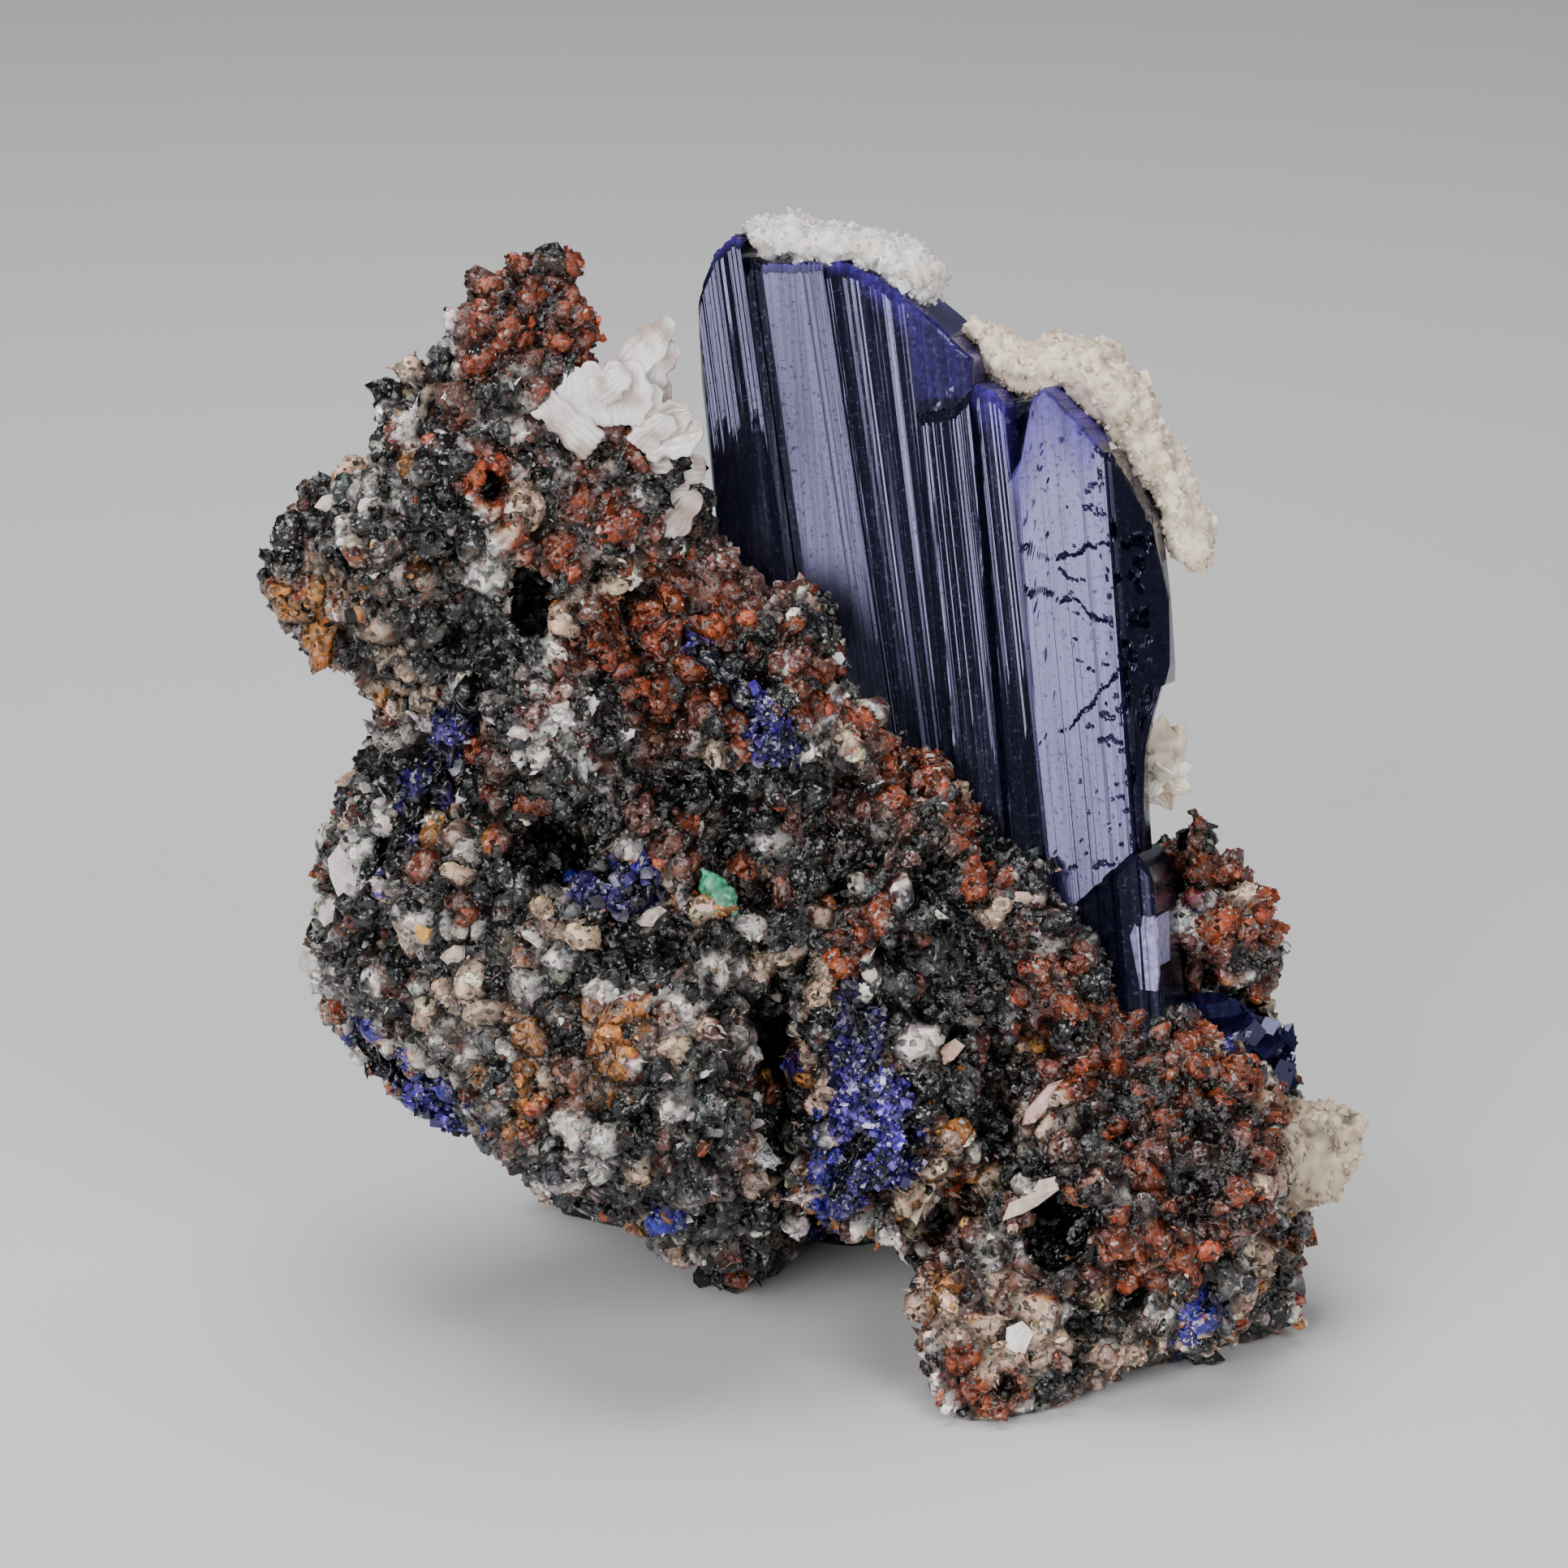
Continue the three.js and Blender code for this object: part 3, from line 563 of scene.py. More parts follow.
def azurite_material():
    """Azurite faces: blue-black and glassy, with fine striae and dull specks. The tint's alpha is the
    roughness of a clean face."""
    material, tree, shader = new_material("azurite_face", IOR=1.78, Specular_Tint=rgba(AZURITE_GLOSS))
    turn = Matrix(crystal_turn().T.tolist()).to_euler()
    place = node(tree, "Mapping", {"Vector": object_place(tree), "Rotation": tuple(turn)}).outputs[0]
    inputs = {"Vector": place, "Lines per metre": 3600.0, "Stretch": 0.015}
    striae = group_node(tree, "growth_striae", inputs)
    colour, clean = tinted(tree, place, 3000.0, 0.6, 1.5)
    specks = node(tree, "TexNoise", {"Vector": place, "Scale": 3200.0, "Detail": 4.0, "Roughness": 0.7})
    dull = ranged(tree, specks.outputs["Fac"], From_Min=0.56, From_Max=0.74, To_Max=0.4)
    lined = ranged(tree, striae.outputs["Height"], From_Min=0.45, From_Max=0.7, To_Max=0.08)
    rough = maths(tree, "ADD", clean, maths(tree, "ADD", dull, lined))
    bump = node(tree, "Bump", {"Strength": 0.15, "Distance": 0.00005, "Height": striae.outputs["Height"]})
    wire(tree, shader, Base_Color=colour, Roughness=rough, Normal=bump.outputs[0])
    return material


def druse_material(name, roughness):
    """Small crystals: the piece's tint, with a different tone and lean in each small cell."""
    material, tree, shader = new_material(name, IOR=1.7, Roughness=roughness)
    place = object_place(tree)
    colour, _ = tinted(tree, place, 2600.0, 0.5, 1.5)
    wire(tree, shader, Base_Color=colour, Normal=leaned(tree, place, 3000.0, 0.5))
    return material


def calcite_material(name, roughness, lean):
    """Calcite: white to cream from the piece's tint, sugary, and a little see-through at its skin."""
    material, tree, shader = new_material(
        name, IOR=1.6, Roughness=roughness, Subsurface_Weight=0.08, Subsurface_Scale=0.0005
    )
    place = object_place(tree)
    tint = node(tree, "Attribute", attribute_name="tint").outputs["Color"]
    stain = node(tree, "TexNoise", {"Vector": place, "Scale": 350.0, "Detail": 4.0}).outputs["Fac"]
    amount = ranged(tree, stain, From_Min=0.52, From_Max=0.75, To_Max=0.6)
    colour = mixed_colour(tree, amount, tint, rgba(CALCITE_STAIN), "MULTIPLY")
    wire(tree, shader, Base_Color=colour, Normal=leaned(tree, place, 2200.0, lean))
    return material


# The ore rock

# Spans of the rock's forms in mm: clumps, broad swells, small domes, pits and the finer spots of mineral.
CLUMP_SPAN = 2.3
SWELL_SPAN = 5.5
DOME_SPAN = 1.15
PIT_SPAN = 2.6
SPOT_SPAN = 0.8
CLUMP_EDGE = 0.35  # how much of a clump its rounded edge takes, in spans
FLOOR_FADE = 1.5  # height above the floor over which the relief grows, mm
CLUMP_TINT = 0.8  # share of the clump's mineral in the skin's colour
# What the crystals take up, in w, t and a: no lump or grain is put there.
CRYSTAL_ROOM = ((-13.4, 15.4), (-1.4, 10.4), (-22, 24))
# Smallest and largest half sizes and the spread of lumps and of grains, in mm.
LUMP_RANGE, LUMP_SPREAD = (0.22, 1.3), 0.4
GRAIN_RANGE, GRAIN_SPREAD = (0.07, 0.6), 0.42
PALE_LUMP = 0.72  # how large a pale lump is beside the others

# Long narrow grooves in the rock's front: a line of the photograph's pixels, half width and depth in mm.
GROOVES = (
    ([(585, 840), (520, 965), (470, 1075), (432, 1180)], 0.32, 1.1),
    ([(812, 1120), (868, 1150), (915, 1210), (948, 1290), (985, 1385)], 0.3, 0.8),
    ([(1115, 925), (1160, 990), (1210, 1085), (1290, 1160), (1330, 1240)], 0.3, -0.7),
)
# Holes in the rock's front, dark with painted shade: middle, half width and half height in the
# photograph's pixels, and depth in mm.
HOLES = (
    (655, 740, 20, 38, 3.2), (605, 598, 17, 20, 2.2), (1300, 1520, 30, 42, 3.0),
    (680, 1050, 44, 30, 3.0), (958, 1270, 17, 60, 2.0), (1235, 1400, 20, 40, 1.5),
    (905, 1000, 20, 22, 1.6), (1150, 1075, 24, 26, 1.8), (560, 800, 14, 24, 1.6),
    (1000, 960, 20, 16, 1.6), (1110, 1180, 26, 26, 1.6), (1180, 1290, 20, 30, 1.8),
    (820, 1180, 18, 26, 1.5), (1030, 1090, 18, 22, 1.4), (1390, 1600, 26, 18, 1.6),
    (880, 1420, 26, 22, 1.5),
)


def groove_share(pixels, line, half_width):
    """How deep in a groove each pixel is, from 0 to 1: a bell curve of its distance from the line."""
    line = np.array(line, float)
    start, step = line[:-1], np.diff(line, axis=0)
    away = pixels[:, None] - start
    along = np.clip((away * step).sum(2) / (step**2).sum(1), 0, 1)
    distance = np.linalg.norm(away - along[..., None] * step, axis=2).min(1) / PIXELS_PER_MM
    return np.exp(-((distance / half_width) ** 2))


def hole_share(points, normals):
    """How much of each hole's depth is taken away at each point that faces the photograph's camera: a
    steep-sided bell of its distance from the hole's middle. The second value is the share alone."""
    pixels = photo_pixels(points)
    depth, share = np.zeros(len(points)), np.zeros(len(points))
    for across, down, half_width, half_height, deep in HOLES:
        away = (((pixels - (across, down)) / (half_width, half_height)) ** 2).sum(1)
        bell = np.exp(-away * away) * (normals[:, 1] < 0.2)
        depth, share = np.maximum(depth, deep * bell), np.maximum(share, bell)
    return depth, share


def clear_of_grooves(places, normals):
    """Whether places lie outside the holes and the front's grooves."""
    pixels = photo_pixels(places)
    clear = hole_share(places, normals)[1] < 0.35
    for line, half_width, depth in GROOVES:
        clear &= (groove_share(pixels, line, half_width) < 0.3) | (normals[:, 1] > 0) | (depth < 0)
    return clear


def clump_cells(points):
    """The rock's clumps: cells about 2 mm across, with borders bent by noise."""
    warp = np.column_stack([smooth_noise(points, 1.5, 40 + axis) for axis in range(3)])
    return cell_noise(points + 0.6 * warp, CLUMP_SPAN, SEED + 300)


def ore_shares(points, normals):
    """The share of each mineral at each point: base shares, plus the photograph's patches on what its
    camera faces, and drifting patches of noise elsewhere."""
    warp = np.column_stack([smooth_noise(points, 3.0, 50 + axis) for axis in range(3)])
    pixels = photo_pixels(points + 0.9 * warp)
    front = np.clip(normals @ TO_CAMERA * 3 + 1.2, 0, 1)
    shares = []
    for n, (mineral, base) in enumerate(ORE_BASE_SHARES.items()):
        strength = PATCH_STRENGTH.get(mineral, 0)
        drift = np.clip(layered_noise(points, 15.0, 3, 60 + 5 * n) - 0.15, 0, 1) * strength
        if mineral == "blue":
            drift = np.clip(layered_noise(points, 9.0, 3, 95) - 0.75, 0, 1) * 9
        patch = np.zeros(len(points))
        for across, down, radius in ORE_PATCHES.get(mineral, ()):
            away = ((pixels - (across, down)) ** 2).sum(1) / radius**2
            patch = np.maximum(patch, np.exp(-away * away))
        shares.append(base + strength * patch * front + drift * (1 - front))
    shares = np.array(shares)
    return shares / shares.sum(0)


def drawn_minerals(shares, draws):
    """The mineral that each draw from 0 to 1 picks by the shares."""
    return np.minimum((draws > np.cumsum(shares, axis=0)).sum(0), len(shares) - 1)


def mineral_colours(minerals, spread, random):
    """The minerals' colours, each made lighter or darker by a random factor."""
    colours = np.array(list(ORE_COLOURS.values()))[minerals]
    count = len(minerals)
    light = np.exp(random.normal(0, spread, (count, 1)))
    return np.clip(colours * light * random.uniform(0.88, 1.12, (count, 3)), 0, 0.85)


def rgba_rows(colours, repeats=1, alpha=1.0):
    """Colours with an alpha, each row repeated."""
    return np.repeat(np.column_stack([colours, np.broadcast_to(alpha, len(colours))]), repeats, axis=0)


def ore_relief(points, normals, look):
    """Height of the rock's skin: broad noise, the dome of each clump, smaller domes on it, pits where a
    noise is high, and the grooves."""
    nearest, second, _ = clump_cells(points)
    height = look.swell * layered_noise(points, SWELL_SPAN, 3, SEED)
    height += look.clump * (np.clip(second - nearest, 0, CLUMP_EDGE) / CLUMP_EDGE - 0.7)
    nearest = cell_noise(points, DOME_SPAN, SEED + 400)[0]
    height += look.grit * (0.4 - nearest**2)
    pits = np.clip(smooth_noise(points, PIT_SPAN, SEED + 9) - 0.4, 0, 1)
    pixels = photo_pixels(points)
    for line, half_width, depth in GROOVES:
        height -= depth * groove_share(pixels, line, half_width) * np.clip(-3 * normals[:, 1], 0, 1)
    return height - look.pit * pits - hole_share(points, normals)[0]


def shade(points, normals, height):
    """Painted shade by each point's height: from nearly black in the gaps and holes to full on top."""
    return np.clip(0.5 + 0.75 * height, 0.02, 1.15) * (1 - 0.95 * hole_share(points, normals)[1])


def build_rock(look):
    """The rock: the remeshed solid, eased, then moved along its normals by the relief."""
    points, faces = fine_shell("matrix", look.voxel)
    points = relaxed(points, faces, 5)
    normals = point_normals(points, faces)
    height = ore_relief(points, normals, look)
    floor = np.clip(points[:, 2] / FLOOR_FADE, 0, 1)
    points = points + normals * (height * floor)[:, None]
    points[:, 2] = np.maximum(points[:, 2], 0)
    return points, faces, point_normals(points, faces), height


def ore_tints(points, normals, height, random):
    """A colour per point: its clump's mineral with some of a finer draw, and painted shade where it is
    low.
    """
    shares = ore_shares(points, normals)
    clump = mineral_colours(drawn_minerals(shares, clump_cells(points)[2]), 0, random)
    spots = cell_noise(points, SPOT_SPAN, SEED + 500)[2]
    fine = mineral_colours(drawn_minerals(shares, spots), 0, random)
    # Painted shade by height and holes, in the colour and in the alpha.
    light = shade(points, normals, height)
    return rgba_rows((CLUMP_TINT * clump + (1 - CLUMP_TINT) * fine) * light[:, None], alpha=light)


def clear_of_crystals(places):
    """Whether places lie outside the standing crystals, from their w, t and a."""
    low, high = np.array(CRYSTAL_ROOM).T
    local = to_crystal(places)
    return ~((local > low) & (local < high)).all(1)


def pebble_shape():
    """A cube's faces cut in four and its points pushed to a sphere: 26 points and 24 faces."""
    steps = np.array(list(itertools.product((-1, 0, 1), repeat=3)), float)
    steps = steps[np.abs(steps).max(1) == 1]
    number = {tuple(step): n for n, step in enumerate(steps)}
    faces = []
    for axis, side in itertools.product(range(3), (-1, 1)):
        for u, v in itertools.product((-1, 0), repeat=2):
            ring = [(u, v), (u + 1, v), (u + 1, v + 1), (u, v + 1)][::side]
            faces.append([number[tuple(np.insert(spot, axis, side))] for spot in ring])
    flip = np.array([face[::-1] if n // 4 in (2, 3) else face for n, face in enumerate(faces)])
    return steps / np.linalg.norm(steps, axis=1, keepdims=True), flip


def lumps_mesh(places, halves, turns, rough, seed):
    """Points and faces of a rounded lump at each place: the pebble's points times its three half sizes,
    turned, then pushed out and in by noise in space."""
    corners, faces = pebble_shape()
    count = len(places)
    solid = np.einsum("nij,nkj->nki", turns, corners[None] * halves[:, None])
    points = (places[:, None] + solid).reshape(-1, 3)
    push = rough * smooth_noise(points, 0.9, seed) + 0.6 * rough * smooth_noise(points, 0.45, seed + 1)
    points = points + (solid * push.reshape(count, -1, 1)).reshape(-1, 3)
    return points, repeated(faces, len(corners), count)


LIGHT_MINERALS = ("pale", "cream", "ochre", "rust")


def build_lumps(points, faces, look, random):
    """Rounded lumps over the rock, coloured as the clump they sit on and its painted shade, in a dark and
    a light piece.
    """
    places, normals = scattered(points, faces, look.lump_count, random)
    keep = clear_of_crystals(places) & clear_of_grooves(places, normals) & (places[:, 2] > 0.6)
    places, normals = places[keep], normals[keep]
    nearest, second, label = clump_cells(places)
    minerals = drawn_minerals(ore_shares(places, normals), label)
    count = len(places)
    size = np.clip(np.exp(random.normal(np.log(look.lump_size), LUMP_SPREAD, count)), *LUMP_RANGE)
    size = np.minimum(size, 0.2 + 0.75 * CLUMP_SPAN * (second - nearest))
    size = size * np.where(minerals == list(ORE_COLOURS).index("pale"), PALE_LUMP, 1)
    halves = size[:, None] * np.exp(random.normal(0, 0.25, (count, 3)))
    # Painted shade of the rock where each lump sits, in its colour and its alpha.
    bright = shade(places, normals, ore_relief(places, normals, look))
    colours = mineral_colours(minerals, 0.35, random) * bright[:, None]
    places = places - normals * (size * 0.25)[:, None]
    turns = random_turns(count, random)
    light = np.isin(minerals, [list(ORE_COLOURS).index(member) for member in LIGHT_MINERALS])
    for name, chosen in (("dark_lumps", ~light), ("light_lumps", light)):
        lumps, quads = lumps_mesh(places[chosen], halves[chosen], turns[chosen], 0.5, SEED + 12)
        lumps[:, 2] = np.maximum(lumps[:, 2], 0)
        yield name, lumps, quads, rgba_rows(colours[chosen], len(pebble_shape()[0]), bright[chosen])


GRAIN_PIECES = {
    "dark_grains": ("dark", "grey"),
    "rust_grains": ("brown", "rust", "ochre"),
    "pale_grains": ("pale", "cream"),
    "blue_grains": ("blue",),
}


def build_grains(points, faces, look, random):
    """Small grains all over the rock and its lumps. Most are of their clump's mineral, the rest draw
    their own."""
    places, normals = scattered(points, faces, look.grain_count, random)
    keep = clear_of_crystals(places) & clear_of_grooves(places, normals) & (places[:, 2] > 0.5)
    places, normals = places[keep], normals[keep]
    own = random.random(len(places))
    draws = np.where(random.random(len(places)) < 0.8, clump_cells(places)[2], own)
    minerals = drawn_minerals(ore_shares(places, normals), draws)
    sizes = np.exp(random.normal(np.log(look.grain_size), GRAIN_SPREAD, len(places)))
    sizes = np.clip(sizes, *GRAIN_RANGE)
    reach = random.uniform(-0.4, 0.5, len(places)) * sizes
    # Painted shade of the rock where each grain sits, in its colour and its alpha.
    light = shade(places, normals, ore_relief(places, normals, look))
    names = list(ORE_COLOURS)
    for name, members in GRAIN_PIECES.items():
        chosen = np.isin(minerals, [names.index(member) for member in members])
        chosen &= np.cumsum(chosen) <= look.piece_limit
        spots = places[chosen] + normals[chosen] * reach[chosen, None]
        shape = "splinter" if name == "pale_grains" else "shard"
        grains, sides = grain_mesh(spots, sizes[chosen], shape, random)
        grains[:, 2] = np.maximum(grains[:, 2], 0)
        colours = mineral_colours(minerals[chosen], 0.45, random) * light[chosen, None]
        yield name, grains, sides, rgba_rows(colours, len(GRAIN_SHAPES[shape][0]), light[chosen])


# Single pieces that the photograph shows on the rock: middle in its pixels, half length and half width in
# millimetres, lean from upright in degrees, colour.
MARKS = (
    ((733, 862), 0.95, 0.4, 35, (0.8, 0.74, 0.7)), ((640, 905), 0.6, 0.55, 0, (0.62, 0.55, 0.5)),
    ((545, 925), 0.75, 0.6, 60, (0.85, 0.86, 0.95)), ((560, 945), 0.5, 0.35, 20, (0.85, 0.86, 0.95)),
    ((866, 1325), 0.6, 0.25, 60, (0.62, 0.66, 0.62)), ((977, 1392), 0.6, 0.45, 20, (0.62, 0.42, 0.36)),
    ((1254, 1660), 1.15, 0.95, 10, (0.86, 0.8, 0.78)), ((1140, 1480), 1.3, 0.5, 20, (0.66, 0.48, 0.36)),
    ((1283, 1360), 1.4, 0.6, 42, (0.62, 0.4, 0.34)), ((1270, 1475), 1.3, 0.6, 50, (0.6, 0.45, 0.38)),
    ((1165, 1300), 1.0, 0.7, 30, (0.5, 0.32, 0.25)), ((1545, 1560), 1.2, 0.7, 10, (0.62, 0.5, 0.46)),
    ((1582, 1312), 0.7, 0.35, 0, (0.6, 0.5, 0.46)), ((427, 1065), 1.4, 1.1, 15, (0.72, 0.62, 0.62)),
    ((404, 1120), 1.0, 0.7, 10, (0.66, 0.6, 0.58)), ((390, 1190), 0.9, 0.8, 0, (0.6, 0.58, 0.56)),
    ((575, 975), 0.8, 0.5, 40, (0.72, 0.64, 0.66)), ((765, 905), 0.6, 0.35, 70, (0.72, 0.68, 0.66)),
    ((633, 628), 0.9, 0.4, 80, (0.72, 0.55, 0.5)), ((420, 616), 1.1, 0.5, 75, (0.62, 0.5, 0.44)),
    ((452, 620), 0.8, 0.5, 30, (0.72, 0.66, 0.6)), ((768, 712), 0.6, 0.5, 0, (0.85, 0.72, 0.68)),
    ((1030, 812), 0.5, 0.45, 0, (0.72, 0.7, 0.74)), ((1255, 1110), 0.9, 0.5, 80, (0.6, 0.45, 0.36)),
    ((1070, 1205), 0.6, 0.4, 30, (0.6, 0.5, 0.45)), ((520, 1145), 0.6, 0.5, 0, (0.62, 0.32, 0.05)),
    ((800, 1130), 0.8, 0.4, 70, (0.55, 0.45, 0.4)), ((845, 1500), 0.7, 0.45, 30, (0.7, 0.66, 0.72)),
    ((1060, 1420), 0.7, 0.5, 30, (0.66, 0.62, 0.66)), ((952, 1225), 0.7, 0.6, 0, (0.5, 0.42, 0.37)),
    ((745, 650), 0.8, 0.5, 60, (0.6, 0.42, 0.38)), ((775, 672), 1.0, 0.5, 40, (0.66, 0.5, 0.46)),
    ((1145, 935), 0.6, 0.4, 60, (0.55, 0.5, 0.5)), ((560, 1180), 0.8, 0.7, 0, (0.5, 0.4, 0.33)),
    ((690, 870), 0.7, 0.5, 30, (0.6, 0.5, 0.46)),
)


def build_marks(tree):
    """The single pieces: each sits where the ray through its pixels meets the rock, and lies in the
    photograph's plane, turned by its lean."""
    places, halves, turns, colours = [], [], [], []
    for (across, down), length, width, lean, colour in MARKS:
        spot, _, _, _ = tree.ray_cast(Vector(CAMERA_PLACE), Vector(photo_ray(across, down)))
        if spot is None:
            continue
        places.append(spot)
        halves.append((width, 0.5 * width, length))
        tilt = Matrix.Rotation(-PHOTO_TILT, 3, "X") @ Matrix.Rotation(np.radians(lean), 3, "Y")
        turns.append(np.array(tilt))
        colours.append(colour)
    points, faces = lumps_mesh(np.array(places), np.array(halves), np.array(turns), 0.85, SEED + 40)
    return points, faces, rgba_rows(np.array(colours), len(pebble_shape()[0]))


# Sheets and blades

def slab(front, back):
    """A closed mesh from two grids of points with the same rows and columns: both sheets, and a strip
    that joins their borders. Seen from the front sheet's side, columns run right and rows run up."""
    rows, columns = front.shape[:2]
    number = np.arange(rows * columns).reshape(rows, columns)
    sheet = np.stack([number[:-1, :-1], number[:-1, 1:], number[1:, 1:], number[1:, :-1]], 2)
    sheet = sheet.reshape(-1, 4)
    loop = np.concatenate([number[0], number[1:, -1], number[-1, -2::-1], number[-2:0:-1, 0]])
    after = np.roll(loop, -1)
    rim = np.column_stack([loop, loop + rows * columns, after + rows * columns, after])
    points = np.concatenate([front.reshape(-1, 3), back.reshape(-1, 3)])
    return points, np.concatenate([sheet, sheet[:, ::-1] + rows * columns, rim])


def joined(parts):
    """One mesh from several: points, faces and any further columns."""
    starts = np.cumsum([0] + [len(part[0]) for part in parts[:-1]])
    points = np.concatenate([part[0] for part in parts])
    return points, np.concatenate([part[1] + start for part, start in zip(parts, starts)])


